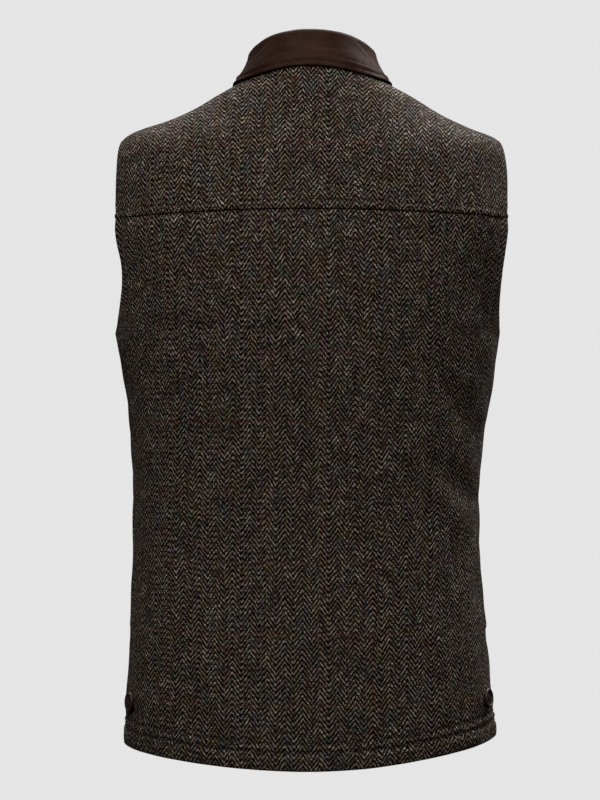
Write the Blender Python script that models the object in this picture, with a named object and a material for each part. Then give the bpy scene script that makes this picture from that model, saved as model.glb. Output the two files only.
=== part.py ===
"""Tweed gilet with a leather collar, worn on an unseen wearer: one closed solid for each piece a maker cuts.

Metres, +Z up. The wearer faces -Y, so the back is at +Y, and the wearer's left is at +X. The origin lies
midway between the shoulders, at the height where the garment rests on them.

The cloth is one lofted surface. A height, that of the centre back, picks a ring round the body, and a place
on the ring runs from 0 at the centre back through 1 at the side to 2 at the centre front, by cloth length.
"""

import math
from collections import namedtuple

import bmesh
import bpy
import numpy as np
from mathutils import Vector

# ---------------------------------------------------------------- driving sizes
CLOTH = 0.003  # the tweed's wall
LEATHER = 0.0024  # the collar's doubled leather
SEAM_GAP = 0.0003  # between pieces that are sewn together
COLLAR_SEAM = 0.0007  # over the neck edge, whose facets differ from the collar's
LAP_GAP = 0.0006  # between pieces that lie on each other

UNDERARM = -0.234  # ring heights, at the centre back
YOKE_SEAM = -0.112
SHOULDER_POINT = -0.066
NECK = 0.042

BUTTON_WIDTH = 0.020
FRONT_BUTTONS = 6
BUTTON_STAND = 0.0009  # thread shank under a button
FRONT_LAP = 0.016  # each front's reach past the centre front
TOP_BUTTON_DROP = 0.030  # below the neck edge, along the centre front
LAST_BUTTON_RISE = 0.115  # above the hem

VENT_TOP = -0.545  # ring height where each side seam opens
VENT_LAP = 0.008  # the back's edge, in front of the seam
VENT_UNDERLAP = 0.036  # the front's reach under the back
VENT_BUTTON_HEIGHT = -0.615
VENT_BUTTON_IN = 0.030  # from the back's vent edge
SEAM_SWING = 0.031  # how far behind the side the seam lies at the hem

Section = namedtuple("Section", "name back_z side_z front_z left right back_y side_y front_y fullness")
SECTIONS = [
    Section("hem", -0.670, -0.6545, -0.666, 0.1920, 0.1935, 0.130, 0.004, -0.124, 2.45),
    Section("hip", -0.612, -0.606, -0.611, 0.1900, 0.1895, 0.129, 0.004, -0.123, 2.45),
    Section("seat", -0.550, -0.549, -0.550, 0.1865, 0.1848, 0.126, 0.004, -0.121, 2.45),
    Section("low_waist", -0.488, -0.488, -0.488, 0.1835, 0.1787, 0.121, 0.003, -0.120, 2.40),
    Section("waist", -0.425, -0.425, -0.425, 0.1825, 0.1764, 0.118, 0.002, -0.120, 2.32),
    Section("ribs", -0.350, -0.350, -0.350, 0.1845, 0.1805, 0.122, 0.002, -0.125, 2.22),
    Section("low_chest", -0.290, -0.290, -0.290, 0.1905, 0.1900, 0.128, 0.002, -0.129, 2.14),
    Section("underarm", -0.234, -0.235, -0.234, 0.2005, 0.1985, 0.132, 0.002, -0.130, 2.12),
    Section("chest", -0.170, -0.173, -0.170, 0.2060, 0.2110, 0.132, 0.002, -0.125, 2.16),
    Section("yoke", -0.112, -0.118, -0.125, 0.2115, 0.2135, 0.126, 0.001, -0.117, 2.20),
    Section("shoulder", -0.066, -0.033, -0.094, 0.1945, 0.1970, 0.116, 0.000, -0.108, 2.10),
    Section("outer_shoulder", -0.047, -0.0205, -0.085, 0.1715, 0.1675, 0.111, 0.000, -0.105, 2.05),
    Section("mid_shoulder", -0.025, -0.006, -0.074, 0.1320, 0.1380, 0.103, -0.001, -0.100, 2.00),
    Section("inner_shoulder", 0.012, 0.014, -0.061, 0.0955, 0.1040, 0.089, -0.002, -0.091, 2.00),
    Section("neck", 0.042, 0.031, -0.050, 0.0635, 0.0705, 0.076, -0.003, -0.083, 2.00),
]
RIGHT_HEM_LIFT = 0.008  # how much higher the hem hangs at the wearer's right side
LIFT_TOP = -0.550  # where that fades out

# The largest folds: soft troughs, or ridges where the depth is negative, between two points on a face.
Fold = namedtuple("Fold", "face x_from z_from x_to z_to width depth")
FOLDS = [
    Fold("back", -0.112, -0.244, -0.167, -0.332, 0.014, 0.0050),
    Fold("back", -0.119, -0.356, -0.166, -0.402, 0.010, 0.0042),
    Fold("back", -0.123, -0.382, -0.162, -0.435, 0.012, -0.0030),
    Fold("back", -0.088, -0.366, -0.119, -0.412, 0.010, 0.0028),
    Fold("back", 0.168, -0.190, 0.150, -0.300, 0.016, 0.0030),
    Fold("back", 0.158, -0.226, 0.082, -0.232, 0.009, 0.0016),
    Fold("back", 0.092, -0.318, 0.136, -0.392, 0.016, 0.0016),
    Fold("back", 0.150, -0.020, 0.088, -0.078, 0.014, 0.0020),
    Fold("back", -0.140, -0.042, -0.112, -0.084, 0.016, 0.0018),
    Fold("front", 0.120, -0.270, 0.160, -0.390, 0.015, 0.0024),
    Fold("front", -0.112, -0.285, -0.158, -0.380, 0.013, 0.0026),
    Fold("front", 0.072, -0.330, 0.118, -0.400, 0.014, 0.0016),
]

# Armholes, as cloth lengths from the side: how far each face is cut away at the widest.
ARMHOLE_BACK = {1: 0.062, -1: 0.058}
ARMHOLE_FRONT = {1: 0.066, -1: 0.066}

# The collar, from the centre back (0) to its front ends (1).
# lean: the fold's distance in from the neck edge; stand: the fold's height over the neck edge.
# reach: from the neck edge down the cloth to the leaf's edge. sweep: how far the edge's front end swings
# back. lift: the leaf's edge over the cloth.
CollarCut = namedtuple("CollarCut", "at lean stand reach sweep lift")
COLLAR = [
    CollarCut(0.00, 0.0050, 0.0276, 0.0072, 0.000, 0.0030),
    CollarCut(0.10, 0.0050, 0.0276, 0.0082, 0.000, 0.0030),
    CollarCut(0.20, 0.0052, 0.0276, 0.0118, 0.000, 0.0030),
    CollarCut(0.30, 0.0056, 0.0266, 0.0158, 0.000, 0.0030),
    CollarCut(0.40, 0.0056, 0.0256, 0.0166, 0.000, 0.0030),
    CollarCut(0.50, 0.0050, 0.0245, 0.0164, 0.000, 0.0030),
    CollarCut(0.75, 0.0030, 0.0230, 0.0270, 0.060, 0.0034),
    CollarCut(0.90, 0.0020, 0.0220, 0.0420, 0.155, 0.0034),
    CollarCut(1.00, 0.0010, 0.0215, 0.0520, 0.260, 0.0030),
]
ROLL = 0.0036  # radius of the collar's fold, at the middle of the leather

# ---------------------------------------------------------------- resolution
BODY_ROWS, ARM_ROWS, SHOULDER_ROWS = 20, 14, 6
BACK_COLUMNS, FRONT_COLUMNS = 38, 20
COLLAR_CUTS, STAND_STEPS, ROLL_STEPS, LEAF_STEPS = 42, 3, 4, 4
UNDERLAP_COLUMNS, BUTTON_STEPS = 4, 16
RING_STEPS = 240
PROBE = 0.002  # step for measuring the surface's slope

TWEED = ("tweed", (0.052, 0.042, 0.035, 1), 0.92)
SKIN = ("collar_leather", (0.030, 0.016, 0.012, 1), 0.48)
HORN = ("button_horn", (0.026, 0.014, 0.011, 1), 0.35)


# ---------------------------------------------------------------- the lofted surface
def smooth(places, values, at):
    """A smooth curve through the values, by cubic Hermite spans."""
    places, values = np.asarray(places, float), np.asarray(values, float)
    slopes = np.gradient(values, places)
    at = np.clip(at, places[0], places[-1])
    i = np.clip(np.searchsorted(places, at, side="right") - 1, 0, len(places) - 2)
    span = places[i + 1] - places[i]
    f = (at - places[i]) / span
    rise = values[i] * (2 * f**3 - 3 * f**2 + 1) + values[i + 1] * (3 * f**2 - 2 * f**3)
    return rise + span * (slopes[i] * (f**3 - 2 * f**2 + f) + slopes[i + 1] * (f**3 - f**2))


def column(name, height):
    """One column of the sections table, at a ring height."""
    return smooth([s.back_z for s in SECTIONS], [getattr(s, name) for s in SECTIONS], height)


def ease(value, start, end):
    """0 before start, 1 after end, and smooth between."""
    f = np.clip((value - start) / (end - start), 0, 1)
    return f * f * (3 - 2 * f)


def quarter(side, face, height):
    """A quarter ring from its centre to its side: cloth lengths, x and y."""
    half = column("left" if side > 0 else "right", height)
    middle = column("side_y", height)
    depth = column("back_y", height) - middle if face == "back" else middle - column("front_y", height)
    power = column("fullness", height)
    angle = np.linspace(0, math.pi / 2, RING_STEPS)
    reach = ((np.cos(angle) / depth) ** power + (np.sin(angle) / half) ** power) ** (-1 / power)
    x = side * reach * np.sin(angle)
    y = middle + (1 if face == "back" else -1) * reach * np.cos(angle)
    lengths = np.concatenate([[0], np.cumsum(np.hypot(np.diff(x), np.diff(y)))])
    return lengths, x, y


def quarter_length(side, face, height):
    return quarter(side, face, height)[0][-1]


def side_lift(side, height):
    """How much higher a ring hangs at the wearer's right side."""
    return RIGHT_HEM_LIFT * ease(LIFT_TOP - height, 0.0, LIFT_TOP - SECTIONS[0].back_z) if side < 0 else 0.0


def base_points(places, height):
    """Points of the plain surface at one ring height. A negative place is on the wearer's right."""
    places = np.asarray(places, float)
    side = np.where(places < 0, -1, 1)
    q = np.abs(places)
    side, q = np.where(q > 2, -side, side), np.where(q > 2, 4 - q, q)
    points = np.zeros((len(places), 3))
    for s in (1, -1):
        for face in ("back", "front"):
            chosen = (side == s) & ((q <= 1) == (face == "back"))
            if not chosen.any():
                continue
            along = q[chosen] if face == "back" else 2 - q[chosen]
            lengths, x, y = quarter(s, face, height)
            points[chosen, 0] = np.interp(along * lengths[-1], lengths, x)
            points[chosen, 1] = np.interp(along * lengths[-1], lengths, y)
            centre = column("back_z" if face == "back" else "front_z", height)
            rise = column("side_z", height) + side_lift(s, height) - centre
            points[chosen, 2] = centre + rise * np.sin(along * math.pi / 2) ** 2
    return points


def normals(places, height):
    """Outward unit normals of the plain surface."""
    places = np.asarray(places, float)
    low, high = max(height - PROBE, SECTIONS[0].back_z), min(height + PROBE, NECK)
    step = PROBE / quarter_length(1, "back", height)
    across = base_points(places + step, height) - base_points(places - step, height)
    upward = base_points(places, high) - base_points(places, low)
    out = np.cross(upward, across)
    return out / np.linalg.norm(out, axis=1)[:, None]


def fold_depth(points):
    """How far the folds push the surface in, at points of the plain surface."""
    depth = np.zeros(len(points))
    for fold in FOLDS:
        start = np.array([fold.x_from, fold.z_from])
        run = np.array([fold.x_to, fold.z_to]) - start
        at = points[:, [0, 2]] - start
        along = np.clip(at @ run / (run @ run), 0, 1)
        away = np.linalg.norm(at - along[:, None] * run, axis=1)
        fade = 0.35 + 0.65 * np.sin(math.pi * np.clip(along, 0.02, 0.98))
        on_face = points[:, 1] > 0 if fold.face == "back" else points[:, 1] < 0
        depth += np.where(on_face, fold.depth * fade * np.exp(-((away / fold.width) ** 2)), 0)
    return depth


def cloth_points(places, height, inward=0.0):
    """Points of the cloth's outer face at one ring height, moved in by one distance or one for each."""
    base = base_points(places, height)
    return base - normals(places, height) * (fold_depth(base) + inward)[:, None]


# ---------------------------------------------------------------- where the pieces are cut
def arm_turn(height):
    """Half a turn round the armhole: 0 at the underarm and pi at the shoulder point."""
    middle = (UNDERARM + SHOULDER_POINT) / 2
    half = (SHOULDER_POINT - UNDERARM) / 2
    return math.acos(max(-1.0, min(1.0, (middle - height) / half)))


def seam_place(side, height):
    """The side seam, which swings behind the side towards the hem."""
    swing = SEAM_SWING * ease(UNDERARM - height, 0.0, UNDERARM - VENT_TOP)
    return 1 - swing / quarter_length(side, "back", height)


def side_cut(side, face, height):
    """Share of a quarter ring that the armhole takes."""
    if not UNDERARM < height < SHOULDER_POINT:
        return 0.0
    widest, roundness = (ARMHOLE_BACK[side], 0.9) if face == "back" else (ARMHOLE_FRONT[side], 0.8)
    return widest * math.sin(arm_turn(height)) ** roundness / quarter_length(side, face, height)


def half_gap(side, face, height):
    return SEAM_GAP / 2 / quarter_length(side, face, height)


def body_heights():
    """Ring heights from the hem to the underarm, with a close pair where the vents end."""
    hem = SECTIONS[0].back_z
    vent_rows = round(BODY_ROWS * (VENT_TOP - hem) / (UNDERARM - hem))
    low = np.linspace(hem, VENT_TOP - 0.008, vent_rows)
    high = np.linspace(VENT_TOP + 0.008, UNDERARM, BODY_ROWS - vent_rows)
    return np.concatenate([low, [VENT_TOP], high])


def arm_heights():
    """Ring heights round the armhole, evenly by turn, with one on the yoke seam."""
    turns = np.linspace(0, math.pi, ARM_ROWS + 1)
    middle = (UNDERARM + SHOULDER_POINT) / 2
    half = (SHOULDER_POINT - UNDERARM) / 2
    heights = middle - half * np.cos(turns)
    heights[np.argmin(np.abs(heights - YOKE_SEAM))] = YOKE_SEAM
    return heights[1:]


def shoulder_heights():
    return np.linspace(SHOULDER_POINT, NECK, SHOULDER_ROWS + 1)[1:]


# ---------------------------------------------------------------- solids
def material(kind):
    name, colour, roughness = kind
    made = bpy.data.materials.get(name) or bpy.data.materials.new(name)
    made.use_nodes = True
    shader = made.node_tree.nodes["Principled BSDF"]
    shader.inputs["Base Color"].default_value = colour
    shader.inputs["Roughness"].default_value = roughness
    made.diffuse_color = colour
    return made


def add_object(name, bm, kind, crease_degrees=50):
    bmesh.ops.recalc_face_normals(bm, faces=bm.faces)
    mesh = bpy.data.meshes.new(name)
    bm.to_mesh(mesh)
    bm.free()
    mesh.materials.append(material(kind))
    mesh.shade_smooth()
    mesh.set_sharp_from_angle(angle=math.radians(crease_degrees))
    made = bpy.data.objects.new(name, mesh)
    bpy.context.scene.collection.objects.link(made)
    return made


def wall(name, outer, inner, kind):
    """A closed wall between two matching grids of points."""
    rows, columns = outer.shape[:2]
    bm = bmesh.new()
    out = [[bm.verts.new(p) for p in row] for row in outer]
    into = [[bm.verts.new(p) for p in row] for row in inner]
    for i in range(rows - 1):
        for j in range(columns - 1):
            bm.faces.new((out[i][j], out[i][j + 1], out[i + 1][j + 1], out[i + 1][j]))
            bm.faces.new((into[i][j], into[i + 1][j], into[i + 1][j + 1], into[i][j + 1]))
    around = [(0, j) for j in range(columns)] + [(i, columns - 1) for i in range(1, rows)]
    around += [(rows - 1, j) for j in range(columns - 2, -1, -1)] + [(i, 0) for i in range(rows - 2, 0, -1)]
    for (i, j), (k, m) in zip(around, around[1:] + around[:1]):
        bm.faces.new((out[k][m], out[i][j], into[i][j], into[k][m]))
    return add_object(name, bm, kind)


def panel(name, heights, places_of, inward_of):
    """A cloth wall whose rows lie on rings. places_of and inward_of give each row's places and set-in."""
    outer, inner = [], []
    for height in heights:
        places = places_of(height)
        inward = inward_of(places, height)
        outer.append(cloth_points(places, height, inward))
        inner.append(cloth_points(places, height, inward + CLOTH))
    return wall(name, np.array(outer), np.array(inner), TWEED)


def back_places(height):
    """Columns across the back, from the wearer's right to the left. The armholes crowd the outer ones."""
    share = np.linspace(-1, 1, BACK_COLUMNS + 1)
    share *= 1.2 - 0.2 * share**2  # closer together near the sides, where the surface bends most
    lap = 0.0 if height >= VENT_TOP else VENT_LAP
    reach, cut = {}, {}
    for side in (1, -1):
        length = quarter_length(side, "back", height)
        reach[side] = seam_place(side, height) - half_gap(side, "back", height) + lap / length
        cut[side] = side_cut(side, "back", height)
    out = np.where(share < 0, reach[-1], reach[1])
    crowded = np.where(share < 0, cut[-1], cut[1])
    return share * out - np.sign(share) * crowded * np.abs(share) ** 3


def front_places(side, height):
    """Columns from the side edge to past the centre front."""
    start = seam_place(side, height) + half_gap(side, "front", height)
    end = 2 + FRONT_LAP / quarter_length(side, "front", height)
    share = np.linspace(0, 1, FRONT_COLUMNS + 1)
    share *= 0.6 + 0.4 * share
    return side * (start + (end - start) * share + side_cut(side, "front", height) * (1 - share) ** 3)


def underlap_places(side, height):
    """Columns of the strip that carries on under the back where a vent opens."""
    length = quarter_length(side, "back", height)
    end = seam_place(side, height) - half_gap(side, "back", height)
    return side * np.linspace(end - VENT_UNDERLAP / length, end, UNDERLAP_COLUMNS + 1)


def no_inset(places, height):
    return np.zeros(len(places))


def underlap_inset(places, height):
    return np.full(len(places), CLOTH + LAP_GAP)


def front_inset(side, places, height):
    """Underlapping cloth steps in by its own thickness: the right front at the centre, both at the vents."""
    q = np.abs(places)
    inward = np.zeros(len(places))
    if height <= VENT_TOP:
        from_seam = (q - seam_place(side, height)) * quarter_length(side, "back", height)
        inward += (CLOTH + LAP_GAP) * (1 - ease(from_seam, VENT_LAP + 0.004, 0.045))
    if side < 0:
        to_centre = (2 - q) * quarter_length(side, "front", height)
        inward += (CLOTH + LAP_GAP) * (1 - ease(to_centre, FRONT_LAP + 0.004, 0.050))
    return inward


def build_cloth():
    body, arm, shoulder = body_heights(), arm_heights(), shoulder_heights()
    yoke_row = int(np.argmin(np.abs(arm - YOKE_SEAM)))
    below = np.concatenate([body, arm[:yoke_row], [YOKE_SEAM - SEAM_GAP / 2]])
    above = np.concatenate([[YOKE_SEAM + SEAM_GAP / 2], arm[yoke_row + 1 :], shoulder])
    panel("back", below, back_places, no_inset)
    panel("back_yoke", above, back_places, no_inset)
    whole = np.concatenate([body, arm, shoulder])
    vent = body[body <= VENT_TOP]
    for name, side in (("front_left", 1), ("front_right", -1)):
        panel(
            name,
            whole,
            lambda height, s=side: front_places(s, height),
            lambda places, height, s=side: front_inset(s, places, height),
        )
    for name, side in (("vent_underlap_left", 1), ("vent_underlap_right", -1)):
        panel(name, vent, lambda height, s=side: underlap_places(s, height), underlap_inset)


# ---------------------------------------------------------------- collar
def bezier(points, steps, skip_first=False):
    """Points along a cubic curve. Each control point is a row of points, one for each cut."""
    share = np.linspace(0, 1, steps + 1)[1 if skip_first else 0 :]
    a, b, c, d = (p[:, None, :] for p in points)
    f = share[None, :, None]
    return a * (1 - f) ** 3 + 3 * b * f * (1 - f) ** 2 + 3 * c * f**2 * (1 - f) + d * f**3


def collar_column(name, at):
    return smooth([c.at for c in COLLAR], [getattr(c, name) for c in COLLAR], np.abs(at))


def height_down_cloth(place, distance):
    """The ring height that lies a cloth distance below the neck edge, at a place on the ring."""
    height, step = NECK, 0.001
    last = base_points([place], height)[0]
    gone = 0.0
    while gone < distance:
        height -= step
        point = base_points([place], height)[0]
        gone += np.linalg.norm(point - last)
        last = point
    return height


def collar_middle():
    """The collar's middle surface: up the stand, round the roll and down the leaf, cut by cut."""
    cuts = np.linspace(-1, 1, COLLAR_CUTS + 1)
    end = 2 - 0.0012 / quarter_length(1, "front", NECK)
    places = cuts * end
    lean, stand = collar_column("lean", cuts), collar_column("stand", cuts)
    reach, sweep, lift = (collar_column(n, cuts) for n in ("reach", "sweep", "lift"))

    rim = base_points(places, NECK)
    out = normals(places, NECK)
    up_cloth = rim - base_points(places, NECK - PROBE)
    up_cloth /= np.linalg.norm(up_cloth, axis=1)[:, None]
    level = out * [1, 1, 0]
    level /= np.linalg.norm(level, axis=1)[:, None]
    up = np.array([0, 0, 1.0])

    foot = rim - out * CLOTH / 2 + up_cloth * COLLAR_SEAM
    top = rim - level * (lean + ROLL)[:, None] + up * stand[:, None]
    rising = bezier(
        (foot, foot + up_cloth * 0.008, top - up * 0.012, top),
        STAND_STEPS,
    )
    turns = np.linspace(0, math.pi, ROLL_STEPS + 1)[1:]
    centre = top + level * ROLL
    roll = centre[:, None] + ROLL * (
        np.sin(turns)[None, :, None] * up - np.cos(turns)[None, :, None] * level[:, None]
    )
    over = roll[:, -1]

    edge, edge_out, slope = (np.zeros_like(rim) for _ in range(3))
    for i, place in enumerate(places):
        lower = place * (1 - sweep[i] / 2)
        height = height_down_cloth(lower, reach[i])
        edge_out[i] = normals([lower], height)[0]
        edge[i] = cloth_points([lower], height)[0] + edge_out[i] * (LEATHER / 2 + lift[i])
        slope[i] = base_points([lower], height + PROBE)[0] - base_points([lower], height)[0]
    slope /= np.linalg.norm(slope, axis=1)[:, None]
    run = np.linalg.norm(edge - over, axis=1)[:, None]
    # Over the shoulders the leaf's lower half lies along the cloth, and elsewhere it hangs straight.
    lies = (ease(np.abs(cuts), 0.20, 0.42) * (1 - ease(np.abs(cuts), 0.60, 0.80)))[:, None]
    hangs = edge - (edge - over) * 0.35
    last_handle = hangs + (edge + slope * run * 0.35 - hangs) * lies * 0.8 + edge_out * run * 0.07
    falling = bezier(
        (over, over - up * run * 0.30 + level * run * 0.05, last_handle, edge),
        LEAF_STEPS,
        skip_first=True,
    )
    return np.concatenate([rising, roll, falling], axis=1)


def grid_normals(grid):
    """Unit normals of a grid of points."""
    across = np.gradient(grid, axis=0)
    down = np.gradient(grid, axis=1)
    out = np.cross(across, down)
    return out / np.linalg.norm(out, axis=2)[:, :, None]


def build_collar():
    middle = collar_middle()
    out = grid_normals(middle) * LEATHER / 2
    return wall("collar", middle + out, middle - out, SKIN)


# ---------------------------------------------------------------- buttons
def button(name, point, out):
    """A rimmed horn button on its thread shank, turned round its axis and set square to the cloth."""
    radius = BUTTON_WIDTH / 2
    profile = [
        (0.0, -BUTTON_STAND + SEAM_GAP),
        (0.0032, -BUTTON_STAND + SEAM_GAP),
        (0.0032, 0.0),
        (radius * 0.72, 0.0),
        (radius, 0.0014),
        (radius, 0.0024),
        (radius * 0.86, 0.0034),
        (radius * 0.66, 0.0024),
        (0.0, 0.0020),
    ]
    bm = bmesh.new()
    verts = [bm.verts.new((r, 0, z)) for r, z in profile]
    edges = [bm.edges.new(pair) for pair in zip(verts, verts[1:])]
    full_turn = {"angle": 2 * math.pi, "axis": (0, 0, 1), "cent": (0, 0, 0)}
    bmesh.ops.spin(bm, geom=verts + edges, steps=BUTTON_STEPS, use_merge=True, **full_turn)
    bmesh.ops.remove_doubles(bm, verts=bm.verts, dist=1e-6)
    made = add_object(name, bm, HORN)
    made.location = Vector(point) + Vector(out) * BUTTON_STAND
    made.rotation_mode = "QUATERNION"
    made.rotation_quaternion = Vector(out).to_track_quat("Z", "Y")
    return made


def place_button(name, place, height):
    point = cloth_points([place], height)[0]
    button(name, point, normals([place], height)[0])


def build_buttons():
    for name, side in (("vent_button_left", 1), ("vent_button_right", -1)):
        length = quarter_length(side, "back", VENT_BUTTON_HEIGHT)
        from_seam = VENT_LAP - VENT_BUTTON_IN
        place = seam_place(side, VENT_BUTTON_HEIGHT) + from_seam / length
        place_button(name, side * place, VENT_BUTTON_HEIGHT)
    top = height_down_cloth(2.0, TOP_BUTTON_DROP)
    bottom = SECTIONS[0].back_z + LAST_BUTTON_RISE
    run = np.linspace(base_points([2.0], top)[0][2], base_points([2.0], bottom)[0][2], FRONT_BUTTONS)
    heights = np.linspace(bottom, top, 200)
    front_z = np.array([base_points([2.0], h)[0][2] for h in heights])
    for number, z in enumerate(run, 1):
        place_button(f"front_button_{number}", 2.0, float(np.interp(z, front_z, heights)))


def main():
    for old in list(bpy.data.objects):
        bpy.data.objects.remove(old, do_unlink=True)
    build_cloth()
    build_collar()
    build_buttons()


main()
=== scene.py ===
"""Dresses the tweed gilet's frame: cloth with folds and seams, a leather collar, buttons and stitching.

Metres, +Z up. The wearer faces -Y, so the back is at +Y, and the wearer's left is at +X. All the cloth lies
on one lofted surface. A ring height, that of the centre back, picks a ring round the body, and a place on the
ring runs from 0 at the centre back through 1 at the side to 2 at the centre front. Places on the right are
negative. Cloth coordinates u and v are lengths along the cloth, across and up.
"""

import math
from collections import namedtuple

import bmesh
import bpy
import numpy as np
from bpy.props import FloatProperty, FloatVectorProperty, IntProperty, PointerProperty
from mathutils import Matrix, Vector, noise


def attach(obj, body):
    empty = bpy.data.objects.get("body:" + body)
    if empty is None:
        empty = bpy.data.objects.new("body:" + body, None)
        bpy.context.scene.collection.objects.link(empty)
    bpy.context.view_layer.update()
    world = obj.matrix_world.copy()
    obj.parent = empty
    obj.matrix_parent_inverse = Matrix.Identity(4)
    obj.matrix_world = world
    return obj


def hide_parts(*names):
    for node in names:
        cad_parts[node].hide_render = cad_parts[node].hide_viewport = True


bl_info = {
    "name": "Tweed gilet",
    "version": (1, 0, 0),
    "blender": (4, 5, 0),
    "location": "3D View > Sidebar > Gilet",
    "description": "Builds the cloth, collar, buttons and stitching of a tweed gilet on its frame",
    "category": "Add Mesh",
}

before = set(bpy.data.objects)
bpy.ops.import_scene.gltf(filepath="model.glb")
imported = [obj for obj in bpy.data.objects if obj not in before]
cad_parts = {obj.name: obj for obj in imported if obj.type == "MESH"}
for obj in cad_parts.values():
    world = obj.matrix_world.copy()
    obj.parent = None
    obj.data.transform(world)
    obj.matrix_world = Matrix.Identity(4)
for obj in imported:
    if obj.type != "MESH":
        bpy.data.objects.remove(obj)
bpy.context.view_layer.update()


# ---------------------------------------------------------------- the cut, as in the frame
UNDERARM, YOKE_SEAM, SHOULDER_POINT, NECK = -0.234, -0.112, -0.066, 0.042  # ring heights
VENT_TOP, VENT_LAP, VENT_UNDERLAP, SEAM_SWING = -0.545, 0.008, 0.036, 0.031
VENT_BUTTON_HEIGHT, VENT_BUTTON_IN = -0.615, 0.030
FRONT_LAP, TOP_BUTTON_DROP, LAST_BUTTON_RISE = 0.016, 0.030, 0.115
ARMHOLE_BACK = {1: 0.057, -1: 0.053}
ARMHOLE_FRONT = {1: 0.061, -1: 0.061}
FRONT_BUTTONS = sorted(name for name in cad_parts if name.startswith("front_button_"))

Section = namedtuple("Section", "name back_z side_z front_z left right back_y side_y front_y fullness")
SECTIONS = [
    Section("hem", -0.670, -0.6545, -0.666, 0.1920, 0.1935, 0.130, 0.004, -0.124, 2.45),
    Section("hip", -0.612, -0.606, -0.611, 0.1900, 0.1895, 0.129, 0.004, -0.123, 2.45),
    Section("seat", -0.550, -0.549, -0.550, 0.1865, 0.1848, 0.126, 0.004, -0.121, 2.45),
    Section("low_waist", -0.488, -0.488, -0.488, 0.1835, 0.1787, 0.121, 0.003, -0.120, 2.40),
    Section("waist", -0.425, -0.425, -0.425, 0.1825, 0.1764, 0.118, 0.002, -0.120, 2.32),
    Section("ribs", -0.350, -0.350, -0.350, 0.1845, 0.1805, 0.122, 0.002, -0.125, 2.22),
    Section("low_chest", -0.290, -0.290, -0.290, 0.1905, 0.1900, 0.128, 0.002, -0.129, 2.14),
    Section("underarm", -0.234, -0.235, -0.234, 0.2005, 0.1985, 0.132, 0.002, -0.130, 2.12),
    Section("chest", -0.170, -0.173, -0.170, 0.2060, 0.2110, 0.132, 0.002, -0.125, 2.16),
    Section("yoke", -0.112, -0.118, -0.125, 0.2115, 0.2135, 0.126, 0.001, -0.117, 2.20),
    Section("shoulder", -0.066, -0.033, -0.094, 0.1945, 0.1970, 0.116, 0.000, -0.108, 2.10),
    Section("outer_shoulder", -0.047, -0.0205, -0.085, 0.1715, 0.1675, 0.111, 0.000, -0.105, 2.05),
    Section("mid_shoulder", -0.025, -0.006, -0.074, 0.1320, 0.1380, 0.103, -0.001, -0.100, 2.00),
    Section("inner_shoulder", 0.012, 0.014, -0.061, 0.0955, 0.1040, 0.089, -0.002, -0.091, 2.00),
    Section("neck", 0.042, 0.031, -0.050, 0.0635, 0.0705, 0.076, -0.003, -0.083, 2.00),
]
RIGHT_HEM_LIFT = 0.008  # how much higher the hem hangs at the wearer's right side
LIFT_TOP = -0.550  # where that fades out

# Soft troughs, or ridges where the depth is negative, between two points on a face. The largest come first.
Fold = namedtuple("Fold", "face x_from z_from x_to z_to width depth")
FOLDS = [
    Fold("back", -0.112, -0.244, -0.167, -0.332, 0.014, 0.0050),
    Fold("back", -0.119, -0.356, -0.166, -0.402, 0.010, 0.0042),
    Fold("back", -0.123, -0.382, -0.162, -0.435, 0.012, -0.0030),
    Fold("back", -0.088, -0.366, -0.119, -0.412, 0.010, 0.0028),
    Fold("back", 0.168, -0.190, 0.150, -0.300, 0.016, 0.0030),
    Fold("back", 0.158, -0.226, 0.082, -0.232, 0.009, 0.0016),
    Fold("back", 0.092, -0.318, 0.136, -0.392, 0.016, 0.0016),
    Fold("back", 0.150, -0.020, 0.088, -0.078, 0.014, 0.0020),
    Fold("back", -0.140, -0.042, -0.112, -0.084, 0.016, 0.0018),
    Fold("front", 0.120, -0.270, 0.160, -0.390, 0.015, 0.0024),
    Fold("front", -0.112, -0.285, -0.158, -0.380, 0.013, 0.0026),
    Fold("front", 0.072, -0.330, 0.118, -0.400, 0.014, 0.0016),
]
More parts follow.
